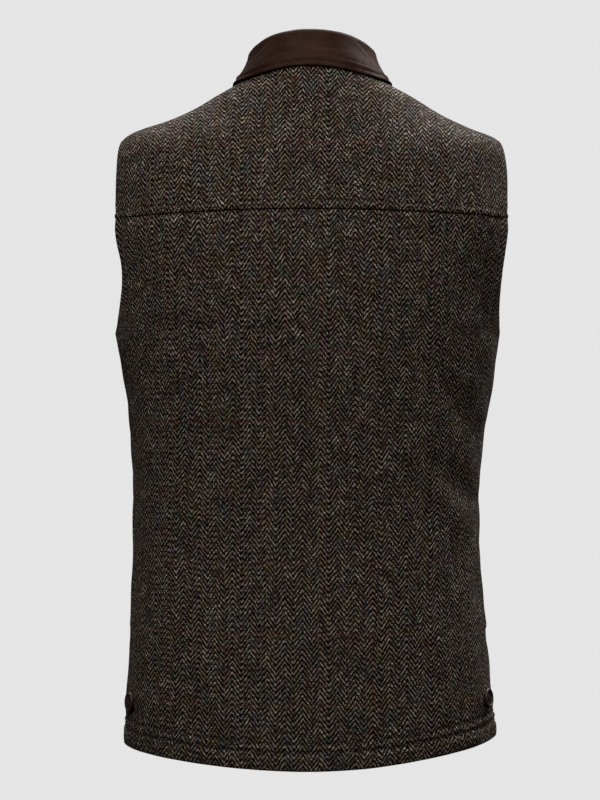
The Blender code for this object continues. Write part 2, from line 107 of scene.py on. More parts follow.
CREASES = [  # the smaller folds that the frame leaves out
    Fold("back", 0.118, -0.225, 0.172, -0.262, 0.008, 0.0012),
    Fold("back", 0.060, -0.226, 0.132, -0.238, 0.009, 0.0008),
    Fold("back", 0.150, -0.400, 0.176, -0.432, 0.008, 0.0011),
    Fold("back", 0.132, -0.430, 0.172, -0.470, 0.010, -0.0009),
    Fold("back", -0.060, -0.300, -0.098, -0.352, 0.012, 0.0010),
    Fold("back", -0.146, -0.448, -0.158, -0.505, 0.010, 0.0014),
    Fold("back", -0.112, -0.470, -0.150, -0.560, 0.013, 0.0011),
    Fold("back", -0.040, -0.420, 0.012, -0.520, 0.020, 0.0008),
    Fold("back", 0.040, -0.440, 0.088, -0.560, 0.018, 0.0010),
    Fold("back", 0.020, -0.560, 0.030, -0.640, 0.014, -0.0009),
    Fold("back", -0.080, -0.575, -0.070, -0.645, 0.013, 0.0008),
    Fold("back", 0.105, -0.590, 0.120, -0.648, 0.011, 0.0009),
    Fold("back", 0.010, -0.150, 0.030, -0.215, 0.022, 0.0008),
    Fold("back", -0.140, -0.112, -0.192, -0.108, 0.032, -0.0042),
    Fold("back", -0.150, -0.160, -0.186, -0.225, 0.030, 0.0028),
    Fold("back", -0.170, -0.140, -0.184, -0.235, 0.010, 0.0014),
    Fold("back", 0.172, -0.150, 0.182, -0.222, 0.009, 0.0012),
    Fold("back", 0.100, -0.006, 0.060, -0.060, 0.012, 0.0009),
    Fold("back", -0.100, -0.012, -0.060, -0.060, 0.012, 0.0009),
    Fold("front", 0.150, -0.395, 0.172, -0.450, 0.010, -0.0012),
    Fold("front", -0.146, -0.380, -0.170, -0.440, 0.010, -0.0012),
    Fold("front", 0.050, -0.190, 0.112, -0.230, 0.014, 0.0012),
    Fold("front", -0.050, -0.195, -0.116, -0.240, 0.014, 0.0012),
    Fold("front", 0.148, -0.060, 0.100, -0.110, 0.014, 0.0018),
    Fold("front", -0.150, -0.065, -0.104, -0.112, 0.014, 0.0016),
    Fold("front", 0.026, -0.300, 0.062, -0.335, 0.010, 0.0012),
    Fold("front", -0.030, -0.405, -0.084, -0.440, 0.012, 0.0013),
    Fold("front", 0.060, -0.500, 0.080, -0.620, 0.014, 0.0011),
    Fold("front", -0.100, -0.520, -0.112, -0.640, 0.014, -0.0010),
    Fold("front", 0.022, -0.400, 0.048, -0.420, 0.009, 0.0010),
]
CREASE_SWAY = 0.05  # how far a crease bends aside, as a share of its length

# The collar, from the centre back (0) to its front ends (1): how far the roll leans in from the neck edge and
# stands over it, then how far the leaf reaches down the cloth, how far its cut sweeps back, and its lift.
CollarCut = namedtuple("CollarCut", "at lean stand reach sweep lift")
COLLAR = [
    CollarCut(0.00, 0.0050, 0.0276, 0.0072, 0.000, 0.0010),
    CollarCut(0.10, 0.0050, 0.0276, 0.0082, 0.000, 0.0010),
    CollarCut(0.20, 0.0052, 0.0276, 0.0118, 0.000, 0.0010),
    CollarCut(0.30, 0.0056, 0.0266, 0.0158, 0.000, 0.0009),
    CollarCut(0.40, 0.0056, 0.0256, 0.0166, 0.000, 0.0009),
    CollarCut(0.50, 0.0050, 0.0245, 0.0164, 0.000, 0.0010),
    CollarCut(0.75, 0.0030, 0.0230, 0.0270, 0.060, 0.0018),
    CollarCut(0.90, 0.0020, 0.0220, 0.0420, 0.155, 0.0022),
    CollarCut(1.00, 0.0010, 0.0215, 0.0520, 0.260, 0.0024),
]
ROLL = 0.0036  # radius of the collar's roll
COLLAR_SEAM = 0.0007  # from the neck's edge up to the foot of the collar
COLLAR_ROW, FRONT_ROW = 0.0076, 0.0068  # in from the edge to the collar's and the fronts' rows of stitches
# Pulls in the leather at the back of the neck, by their middle, slope, half length and depth.
Pull = namedtuple("Pull", "x z slope reach depth")
COLLAR_PULLS = [
    Pull(0.052, 0.050, -0.90, 0.016, 0.0008),
    Pull(-0.056, 0.052, 1.10, 0.017, 0.0009),
    Pull(-0.018, 0.052, 0.08, 0.012, 0.0006),
    Pull(0.028, 0.047, -0.35, 0.014, 0.0005),
    Pull(-0.066, 0.044, 1.40, 0.012, 0.0006),
]

EDGE_ROUND = 0.0022  # how far in from its edge the tweed is round
LAP_EASE = 0.0006  # room between two cloths that lap
PEAK = 6.9  # millimetres from the centre back to a peak of the herringbone
QUILT_DIAGONAL = 0.0718  # across one diamond of the padding
QUILT_U, QUILT_V = 0.0094, -0.1587  # the middle of one diamond, in cloth coordinates
RING_STEPS, PROBE = 320, 0.002  # points on a quarter ring, and how far off a slope is measured
NEAR_REPEAT, WELD = 0.00025, 2e-6  # ring heights and points nearer than this are taken as one
STITCH_THICK, STITCH_LIFT, STITCH_PITCH = 0.00036, 0.00012, 1.28  # the pitch is a share of a stitch's length
THREAD_LONG, PURL_LONG, PURL_PITCH, SLIT_HALF = 0.0066, 0.0021, 0.00062, 0.00125
BUTTON_RISE, HOLE_SHIFT = 0.0010, 0.0085  # the button over the cloth, and the buttonhole's middle beside it
# A button's turned section, from the middle below to the middle above: share of the radius, and height.
BUTTON_SECTION = [
    (0.0, 0.0), (0.62, 0.0), (0.80, 0.0003), (0.94, 0.0009), (0.995, 0.0016), (1.0, 0.0021), (0.985, 0.0027),
    (0.94, 0.0032), (0.88, 0.0034), (0.82, 0.0033), (0.77, 0.0029), (0.73, 0.0024), (0.66, 0.0021),
    (0.45, 0.0019), (0.2, 0.0018), (0.0, 0.0018),
]
SIDES = {1: "left", -1: "right"}
EDGES = "bottom", "top", "first", "last"


# ---------------------------------------------------------------- sizes and colours a user would change
def size(name, description, metres, top=0.1):
    return FloatProperty(
        name=name, description=description, default=metres, min=0.0, max=top,
        precision=5, subtype="DISTANCE", unit="LENGTH",
    )


def colour(name, description, rgb):
    return FloatVectorProperty(
        name=name, description=description, default=rgb, min=0, max=1, size=3, subtype="COLOR"
    )


class GiletCloth(bpy.types.PropertyGroup):
    wall: size("Cloth wall", "Thickness of the tweed with its facing", 0.003)
    step: size("Mesh step", "Width of one face of the cloth's mesh", 0.0042)
    hem_band: size("Hem band", "From the hem's edge to the lower row of stitches", 0.0175)
    hem_rows: size("Hem rows", "Between the two rows of stitches round the hem", 0.0090)
    hem_puff: size("Hem puff", "How far the turned hem stands out under its stitches", 0.0011)
    yoke_row: size("Yoke row", "From the yoke's edge to its row of stitches", 0.0078)
    yoke_lap: size("Yoke lap", "How far the yoke's edge stands out over the back", 0.0016)
    ruffle: size("Unevenness", "Height of the small hollows all over the cloth", 0.0007)
    quilt: size("Quilting", "Height of the padding's diamonds", 0.0011)
    seam_gap: size("Seam gap", "Between two pieces sewn together", 0.0)


class GiletTweed(bpy.types.PropertyGroup):
    end_width: size("Warp end", "Width of one warp yarn", 0.000973)
    pick_height: size("Weft pick", "Height of one weft yarn", 0.00138)
    stripe_ends: IntProperty(
        name="Stripe", description="Warp yarns in one slanting stripe", default=9, min=4, max=24
    )
    check_width: size("Check width", "Between the vertical overcheck lines", 0.05253)
    check_height: size("Check height", "Between the horizontal overcheck lines", 0.0706)
    nap: FloatProperty(name="Nap", description="Soft sheen of the raised fibres", default=0.01, min=0, max=1)
    light: colour("Light yarn", "The warp, seen as the light slanting lines", (0.0900, 0.0733, 0.0645))
    dark: colour("Dark yarn", "The weft, seen between the lines", (0.0078, 0.0033, 0.0015))
    mauve: colour("Mauve", "A tint of the warp", (0.0800, 0.0560, 0.0560))
    olive: colour("Olive", "A tint of the warp", (0.0780, 0.0700, 0.0420))
    slate: colour("Slate", "A tint of the warp", (0.0620, 0.0650, 0.0620))
    rust: colour("Rust", "A tint of the warp", (0.0900, 0.0580, 0.0430))
    cream: colour("Cream", "A tint of the warp", (0.1350, 0.1180, 0.1000))
    rust_line: colour("Rust line", "Overcheck lines across", (0.0900, 0.0280, 0.0170))
    mustard: colour("Mustard", "Overcheck lines down", (0.1600, 0.0880, 0.0200))
    orange: colour("Orange", "Overcheck lines down", (0.1700, 0.0640, 0.0220))
    red: colour("Red", "Overcheck lines down", (0.1050, 0.0260, 0.0200))


class GiletTrim(bpy.types.PropertyGroup):
    leather: colour("Leather", "The collar", (0.0150, 0.0066, 0.0046))
    leather_worn: colour("Worn leather", "The collar's raised creases and edges", (0.0265, 0.0125, 0.0090))
    leather_wall: size("Leather wall", "Thickness of the doubled leather", 0.0024)
    horn: colour("Button", "The buttons' horn", (0.0095, 0.0045, 0.0034))
    button_width: size("Button width", "Across a button", 0.020)
    thread: colour("Thread", "All the topstitching", (0.0130, 0.0095, 0.0070))
    stitch: size("Stitch", "Length of one topstitch", 0.0034)


class GiletStage(bpy.types.PropertyGroup):
    floor_drop: size("Floor", "From the shoulders down to the floor", 1.05, 5)
    camera_distance: size("Camera", "From the shoulders back to the camera", 2.70, 10)
    camera_drop: size("Camera drop", "From the shoulders down to the camera", 0.3016, 5)
    camera_left: size("Camera left", "From the middle to the camera, on the wearer's left", 0.00936, 1)
    lens: FloatProperty(
        name="Lens", description="Focal length in millimetres", default=116.83, min=10, max=400
    )
    backdrop: colour("Backdrop", "The floor and the wall behind", (0.785, 0.785, 0.785))


# ---------------------------------------------------------------- the lofted surface
def smooth(places, values, at):
    """A smooth curve through the values, by cubic Hermite spans."""
    places, values = np.asarray(places, float), np.asarray(values, float)
    slopes = np.gradient(values, places)
    at = np.clip(at, places[0], places[-1])
    i = np.clip(np.searchsorted(places, at, side="right") - 1, 0, len(places) - 2)
    span = places[i + 1] - places[i]
    f = (at - places[i]) / span
    rise = values[i] * (2 * f**3 - 3 * f**2 + 1) + values[i + 1] * (3 * f**2 - 2 * f**3)
    return rise + span * (slopes[i] * (f**3 - 2 * f**2 + f) + slopes[i + 1] * (f**3 - f**2))


def column(name, height):
    return smooth([s.back_z for s in SECTIONS], [getattr(s, name) for s in SECTIONS], height)


def ease(value, start, end):
    """0 before start, 1 after end, and smooth between."""
    f = np.clip((value - start) / (end - start), 0, 1)
    return f * f * (3 - 2 * f)


def bump(distance, width):
    return np.exp(-((distance / width) ** 2))


def quarter(side, face, height):
    """A quarter ring from its centre to its side: cloth lengths, x and y."""
    half = column("left" if side > 0 else "right", height)
    middle = column("side_y", height)
    depth = column("back_y", height) - middle if face == "back" else middle - column("front_y", height)
    power = column("fullness", height)
    angle = np.linspace(0, math.pi / 2, RING_STEPS)
    reach = ((np.cos(angle) / depth) ** power + (np.sin(angle) / half) ** power) ** (-1 / power)
    x = side * reach * np.sin(angle)
    y = middle + (1 if face == "back" else -1) * reach * np.cos(angle)
    lengths = np.concatenate([[0], np.cumsum(np.hypot(np.diff(x), np.diff(y)))])
    return lengths, x, y


def quarter_length(side, face, height):
    return quarter(side, face, height)[0][-1]


def side_lift(side, height):
    """How much higher a ring hangs at the wearer's right side."""
    return RIGHT_HEM_LIFT * ease(LIFT_TOP - height, 0.0, LIFT_TOP - SECTIONS[0].back_z) if side < 0 else 0.0


def base_points(places, height):
    """Points of the plain surface at one ring height."""
    places = np.asarray(places, float)
    side = np.where(places < 0, -1, 1)
    q = np.abs(places)
    side, q = np.where(q > 2, -side, side), np.where(q > 2, 4 - q, q)
    points = np.zeros((len(places), 3))
    for s in (1, -1):
        for face in ("back", "front"):
            chosen = (side == s) & ((q <= 1) == (face == "back"))
            if not chosen.any():
                continue
            along = q[chosen] if face == "back" else 2 - q[chosen]
            lengths, x, y = quarter(s, face, height)
            points[chosen, 0] = np.interp(along * lengths[-1], lengths, x)
            points[chosen, 1] = np.interp(along * lengths[-1], lengths, y)
            centre = column("back_z" if face == "back" else "front_z", height)
            rise = column("side_z", height) + side_lift(s, height) - centre
            points[chosen, 2] = centre + rise * np.sin(along * math.pi / 2) ** 2
    return points


def normals(places, height):
    """Outward unit normals of the plain surface."""
    places = np.asarray(places, float)
    low, high = max(height - PROBE, SECTIONS[0].back_z), min(height + PROBE, NECK)
    step = 2 * PROBE / quarter_length(1, "back", height)
    across = base_points(places + step, height) - base_points(places - step, height)
    out = np.cross(base_points(places, high) - base_points(places, low), across)
    return out / np.linalg.norm(out, axis=1)[:, None]


def fold_depth(points, folds=FOLDS, sway=0.0):
    """How far folds push the surface in, at points of the plain surface. Sway bends each fold a little."""
    depth = np.zeros(len(points))
    for number, fold in enumerate(folds):
        start = np.array([fold.x_from, fold.z_from])
        run = np.array([fold.x_to, fold.z_to]) - start
        length = np.linalg.norm(run)
        at = points[:, [0, 2]] - start
        share = at @ run / (run @ run)
        along = np.clip(share, 0, 1)
        aside = (at[:, 0] * run[1] - at[:, 1] * run[0]) / length
        bend = sway * length * np.sin(along * 5 + number * 2.1)
        away = np.hypot(aside - bend, (share - along) * length)
        fade = 0.35 + 0.65 * np.sin(math.pi * np.clip(along, 0.02, 0.98))
        on_face = points[:, 1] > 0 if fold.face == "back" else points[:, 1] < 0
        depth += np.where(on_face, fold.depth * fade * bump(away, fold.width), 0)
    return depth


def on_cloth(place, height):
    """A point on the folded surface, and the outward normal there."""
    base = base_points([place], height)
    out = normals([place], height)[0]
    return base[0] - out * fold_depth(base), out


def lengths_along(points, axis=0):
    """How far each point of a line or grid is from the first, along an axis."""
    gone = np.linalg.norm(np.diff(points, axis=axis), axis=-1).cumsum(axis=axis)
    return np.insert(gone, 0, 0.0, axis=axis)


def unit(vectors):
    return vectors / np.linalg.norm(vectors, axis=-1, keepdims=True)


def ruffle(points, height):
    """Small hollows and swellings all over, uneven and soft."""
    out = np.zeros(len(points))
    for i, p in enumerate(points):
        at = Vector(p)
        out[i] = noise.noise(at * 17) + 0.5 * noise.noise(at * 41 + Vector((3, 1, 7)))
    return out * height


def quilted(u, v, height):
    """The padding's soft diamonds, where a 51 mm square lattice of stitches under the tweed draws it in."""
    a = (u - QUILT_U + v - QUILT_V) / QUILT_DIAGONAL
    b = (u - QUILT_U - v + QUILT_V) / QUILT_DIAGONAL
    pillow = (0.5 + 0.5 * np.cos(2 * math.pi * a)) * (0.5 + 0.5 * np.cos(2 * math.pi * b))
    return height * (pillow**0.7 - 0.35)


# ---------------------------------------------------------------- where the pieces are cut
ARM_MIDDLE, ARM_HALF = (UNDERARM + SHOULDER_POINT) / 2, (SHOULDER_POINT - UNDERARM) / 2


def arm_turn(height):
    """Half a turn round the armhole: 0 at the underarm and pi at the shoulder point."""
    return math.acos(max(-1.0, min(1.0, (ARM_MIDDLE - height) / ARM_HALF)))


def arm_heights(step):
    """Ring heights round the armhole, by turn so that they follow its curve."""
    turns = np.linspace(0, math.pi, round(math.pi * ARM_HALF / step * 1.25))
    return ARM_MIDDLE - ARM_HALF * np.cos(turns)


def seam_place(side, height):
    """The side seam, which swings behind the side towards the hem."""
    swing = SEAM_SWING * ease(UNDERARM - height, 0.0, UNDERARM - VENT_TOP)
    return 1 - swing / quarter_length(side, "back", height)


def side_cut(side, face, height):
    """Share of a quarter ring that the armhole takes."""
    if not UNDERARM < height < SHOULDER_POINT:
        return 0.0
    widest, roundness = (ARMHOLE_BACK[side], 0.9) if face == "back" else (ARMHOLE_FRONT[side], 0.8)
    return widest * math.sin(arm_turn(height)) ** roundness / quarter_length(side, face, height)


def even_steps(start, end, step):
    return np.linspace(start, end, max(2, round(abs(end - start) / step)) + 1)


def join_heights(*runs):
    """One run of ring heights, low to high, without near repeats."""
    heights = np.unique(np.concatenate(runs))
    return heights[np.concatenate([[True], np.diff(heights) > NEAR_REPEAT])]


def edge_steps(width, count=4):
    """Distances in from an edge, close together where the edge is rounded."""
    return width * (1 - np.cos(np.linspace(0, math.pi / 2, count + 1)))


def body_heights(step):
    """Ring heights from the hem to the underarm, closer together where there are stitches."""
    hem, sewn = SECTIONS[0].back_z, SECTIONS[0].back_z + 0.036
    fine = even_steps(hem + EDGE_ROUND, sewn, 0.0018)
    return join_heights(hem + edge_steps(EDGE_ROUND), fine, even_steps(sewn, UNDERARM, step))


# ---------------------------------------------------------------- cloth shells
class Shell:
    """Rows of cloth on the rings, with the cloth coordinates of each point."""

    def __init__(self, heights, places_of, face, side=0):
        self.heights = np.asarray(heights, float)
        self.places = np.array([places_of(h) for h in self.heights])
        self.base = np.array([base_points(p, h) for p, h in zip(self.places, self.heights)])
        self.normal = np.array([normals(p, h) for p, h in zip(self.places, self.heights)])
        self.face, self.side = face, side
        flat = self.base.reshape(-1, 3)
        depth = fold_depth(flat) + fold_depth(flat, CREASES, CREASE_SWAY)
        self.rise = -depth.reshape(self.base.shape[:2])
        self.u = np.array([self.across(p, h, b) for p, h, b in zip(self.places, self.heights, self.base)])
        self.v = self.up()

    def across(self, places, height, points):
        """Cloth distance across a row, from the centre back or the centre front."""
        level = min(height, YOKE_SEAM)
        if self.face == "back":
            if height <= YOKE_SEAM:
                left, right = (quarter_length(side, "back", height) for side in (1, -1))
                return places * np.where(places < 0, right, left)
            out = np.zeros(len(places))
            for side in (1, -1):
                lengths, x, _ = quarter(side, "back", level)
                chosen = points[:, 0] * side >= 0
                out[chosen] = side * np.interp(np.abs(points[chosen, 0]), np.abs(x), lengths)
            return out
        front, back = (quarter_length(self.side, face, level) for face in ("front", "back"))
        q = np.abs(places)
        if height <= YOKE_SEAM:
            return self.side * np.where(q > 1, (2 - q) * front, front + (1 - q) * back)
        lengths, x, _ = quarter(self.side, "front", level)
        along = np.interp(np.abs(points[:, 0]), np.abs(x), lengths)
        return np.where(points[:, 0] * self.side >= 0, self.side * along, -self.side * np.abs(points[:, 0]))

    def up(self):
        """Cloth distance up each column, from the underarm ring."""
        step = np.diff(self.base, axis=0)
        step[self.heights[1:] > YOKE_SEAM, :, 0] = 0
        lengths = np.insert(np.linalg.norm(step, axis=2).cumsum(axis=0), 0, 0.0, axis=0)
        if self.heights[0] > UNDERARM:
            return lengths + self.rise_between(UNDERARM, self.heights[0])
        if self.heights[-1] < UNDERARM:
            return lengths - lengths[-1] - self.rise_between(self.heights[-1], UNDERARM)
        return lengths - lengths[int(np.argmin(np.abs(self.heights - UNDERARM)))]

    def rise_between(self, low, high):
        """Cloth distance between two rings, along the middle column."""
        place = [self.places[0, self.places.shape[1] // 2]]
        return lengths_along(np.array([base_points(place, h)[0] for h in np.linspace(low, high, 40)]))[-1]

    def softened(self, quilting=1.0):
        """Adds the cloth's unevenness and the padding under it."""
        cloth = bpy.context.scene.gilet_cloth
        flat = self.base.reshape(-1, 3)
        self.rise = self.rise + ruffle(flat, cloth.ruffle).reshape(self.rise.shape)
        share = quilting * (1 - 0.5 * ease(self.v, -0.02, 0.06))
        self.rise = self.rise + quilted(self.u, self.v, cloth.quilt) * share
        return self

    def outer(self):
        return self.base + self.normal * self.rise[:, :, None]

    def edge_distance(self, *edges):
        """Cloth distance from the nearest of the named edges: bottom, top, first or last."""
        away = np.full(self.base.shape[:2], 1.0)
        for edge in edges:
            axis = 0 if edge in ("bottom", "top") else 1
            if edge in ("bottom", "first"):
                gone = lengths_along(self.base, axis)
            else:
                gone = np.flip(lengths_along(np.flip(self.base, axis), axis), axis)
            away = np.minimum(away, gone)
        return away


# ---------------------------------------------------------------- pieces
def link(name, data):
    """Adds an object to the scene."""
    made = bpy.data.objects.new(name, data)
    bpy.context.scene.collection.objects.link(made)
    return made


def add_piece(name, mesh, finish, node=None):
    """Welds a mesh and adds it as a piece on the frame, in place of a node's solid where one is named."""
    bm = bmesh.new()
    bm.from_mesh(mesh)
    bmesh.ops.remove_doubles(bm, verts=bm.verts, dist=WELD)
    bmesh.ops.recalc_face_normals(bm, faces=bm.faces)
    bm.to_mesh(mesh)
    bm.free()
    mesh.shade_smooth()
    mesh.materials.append(finish)
    made = link(name, mesh)
    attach(made, "root")
    if node:
        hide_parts(node)
    return made


def new_mesh(name, points, faces):
    mesh = bpy.data.meshes.new(name)
    mesh.from_pydata(points.tolist(), [], faces)
    return mesh


def sheet_mesh(name, surface, normal, u, v, wall, away, rounding):
    """A closed sheet with its outer face on a surface. Its faces meet in a round edge where away is 0."""
    f = np.clip(away / rounding, 0, 1)
    half = wall / 2 * np.sqrt(np.clip(1 - (1 - f) ** 2, 0, 1))[:, :, None]
    middle = surface - normal * wall / 2
    points = np.concatenate([middle + normal * half, middle - normal * half]).reshape(-1, 3)
    index, count = np.arange(away.size).reshape(away.shape), away.size
    a, b, c, d = index[:-1, :-1], index[:-1, 1:], index[1:, 1:], index[1:, :-1]
    front = np.stack([a, b, c, d], axis=-1).reshape(-1, 4)
    behind = np.stack([a, d, c, b], axis=-1).reshape(-1, 4) + count
    rim = np.concatenate([index[0], index[1:, -1], index[-1, -2::-1], index[-2:0:-1, 0]])
    after = np.roll(rim, -1)
    sides = np.stack([after, rim, rim + count, after + count], axis=-1)
    mesh = new_mesh(name, points, np.concatenate([front, behind, sides]).tolist())
    coords = np.stack([np.tile(u.ravel(), 2), np.tile(v.ravel(), 2)], axis=-1)
    corners = np.empty(len(mesh.loops), dtype=np.int32)
    mesh.loops.foreach_get("vertex_index", corners)
    mesh.uv_layers.new(name="cloth").data.foreach_set("uv", coords[corners].ravel())
    return mesh


def add_tweed(shell, name, node, away):
    """Adds a tweed piece with its flat cut."""
    surface, wall = shell.outer(), bpy.context.scene.gilet_cloth.wall
    mesh = sheet_mesh(name, surface, shell.normal, shell.u, shell.v, wall, away, EDGE_ROUND)
    piece = add_piece(name, mesh, shared("tweed_cloth", tweed_finish), node)


# ---------------------------------------------------------------- shader arithmetic
def sum_of(operation, swapped=False):
    """A method that adds one Math node."""

    def apply(self, *others):
        values = (*others, self) if swapped else (self, *others)
        return self.web.maths(operation, *values)

    return apply


class Field:
    """A number or colour that changes over a surface. Sums on it add Math nodes to its tree."""

    def __init__(self, web, socket):
        self.web, self.socket = web, socket

    __add__, __radd__ = sum_of("ADD"), sum_of("ADD", swapped=True)
    __sub__, __rsub__ = sum_of("SUBTRACT"), sum_of("SUBTRACT", swapped=True)
    __mul__, __rmul__ = sum_of("MULTIPLY"), sum_of("MULTIPLY", swapped=True)
    __truediv__, __pow__, __mod__ = sum_of("DIVIDE"), sum_of("POWER"), sum_of("FLOORED_MODULO")
    __gt__, __abs__, floor = sum_of("GREATER_THAN"), sum_of("ABSOLUTE"), sum_of("FLOOR")


class Web:
    """The nodes of one material."""

    def __init__(self, name):
        self.material = bpy.data.materials.new(name)
        self.material.use_nodes = True
        self.tree = self.material.node_tree
        self.tree.nodes.clear()

    def node(self, kind, settings=None, out=0, **sockets):
        """Adds a node: its settings first, then its sockets' values or links."""
        made = self.tree.nodes.new(kind)
        for name, value in (settings or {}).items():
            setattr(made, name, value)
        for name, value in sockets.items():
            socket = self.find(made, name)
            if isinstance(value, Field):
                self.tree.links.new(value.socket, socket)
            else:
                socket.default_value = value
        return Field(self, made.outputs[out]) if made.outputs else None

    @staticmethod
    def find(node, name):
        """An input by its number, as in i0, or by its name."""
        if name[0] == "i" and name[1:].isdigit():
            return node.inputs[int(name[1:])]
        for socket in node.inputs:
            if name in (socket.identifier, socket.name.replace(" ", "_")):
                return socket
        raise RuntimeError(f"{node.bl_idname} has no socket {name}")

    def maths(self, operation, *values):
        numbered = {f"i{i}": value for i, value in enumerate(values)}
        return self.node("ShaderNodeMath", {"operation": operation}, **numbered)

    def between(self, value, low, high):
        """0 below low, 1 above high, and smooth between."""
        ends = {"From_Min": low, "From_Max": high, "To_Min": 0.0, "To_Max": 1.0}
        return self.node("ShaderNodeMapRange", {"interpolation_type": "SMOOTHSTEP"}, Value=value, **ends)

    def mix(self, share, first, second, how="MIX"):
        settings = {"data_type": "RGBA", "blend_type": how}
        values = {}
        for name, value in (("A_Color", first), ("B_Color", second)):
            values[name] = value if isinstance(value, Field) else (*value, 1.0)
        return self.node("ShaderNodeMix", settings, 2, Factor_Float=share, **values)

    def shade(self, colour, amount):
        """A colour made lighter or darker by a number."""
        grey = self.node("ShaderNodeCombineColor", Red=amount, Green=amount, Blue=amount)
        return self.mix(1.0, colour, grey, "MULTIPLY")

    def pick(self, value, places, colours):
        """The colour of the last place that the value is past."""
        made = self.node("ShaderNodeValToRGB", Fac=value)
        ramp = made.socket.node.color_ramp
        while len(ramp.elements) < len(places):
            ramp.elements.new(1.0)
        for element, place, rgb in zip(ramp.elements, places, colours):
            element.position, element.color = place, (*rgb, 1.0)
        ramp.interpolation = "CONSTANT"
        return made

    def at(self, x, y, z=0.0):
        return self.node("ShaderNodeCombineXYZ", X=x, Y=y, Z=z)

    def cloud(self, place, scale, detail=2.0, roughness=0.5):
        return self.node("ShaderNodeTexNoise", Vector=place, Scale=scale, Detail=detail, Roughness=roughness)

    def scatter(self, x, y):
        """A random number for each place."""
        return self.node("ShaderNodeTexWhiteNoise", {"noise_dimensions": "2D"}, Vector=self.at(x, y))

    def raise_by(self, height, distance, strength, **under):
        return self.node("ShaderNodeBump", Height=height, Distance=distance, Strength=strength, **under)

    def finish(self, **sockets):
        surface = self.node("ShaderNodeBsdfPrincipled", **sockets)
        self.node("ShaderNodeOutputMaterial", Surface=surface)
        self.material.diffuse_color = (0.05, 0.04, 0.035, 1)
        return self.material

    def place(self):
        """Where a point is on its piece, in metres."""
        return self.node("ShaderNodeTexCoord", out=3)

    def cloth_place(self):
        """Cloth distances across and up, in millimetres."""
        parts = self.node("ShaderNodeSeparateXYZ", Vector=self.node("ShaderNodeUVMap", {"uv_map": "cloth"}))
        return parts * 1000, Field(self, parts.socket.node.outputs[1]) * 1000


def scaled(rgb, share):
    return tuple(c * share for c in rgb)


def shared(name, make):
    """One material for all the pieces that have this finish."""
    return bpy.data.materials.get(name) or make()


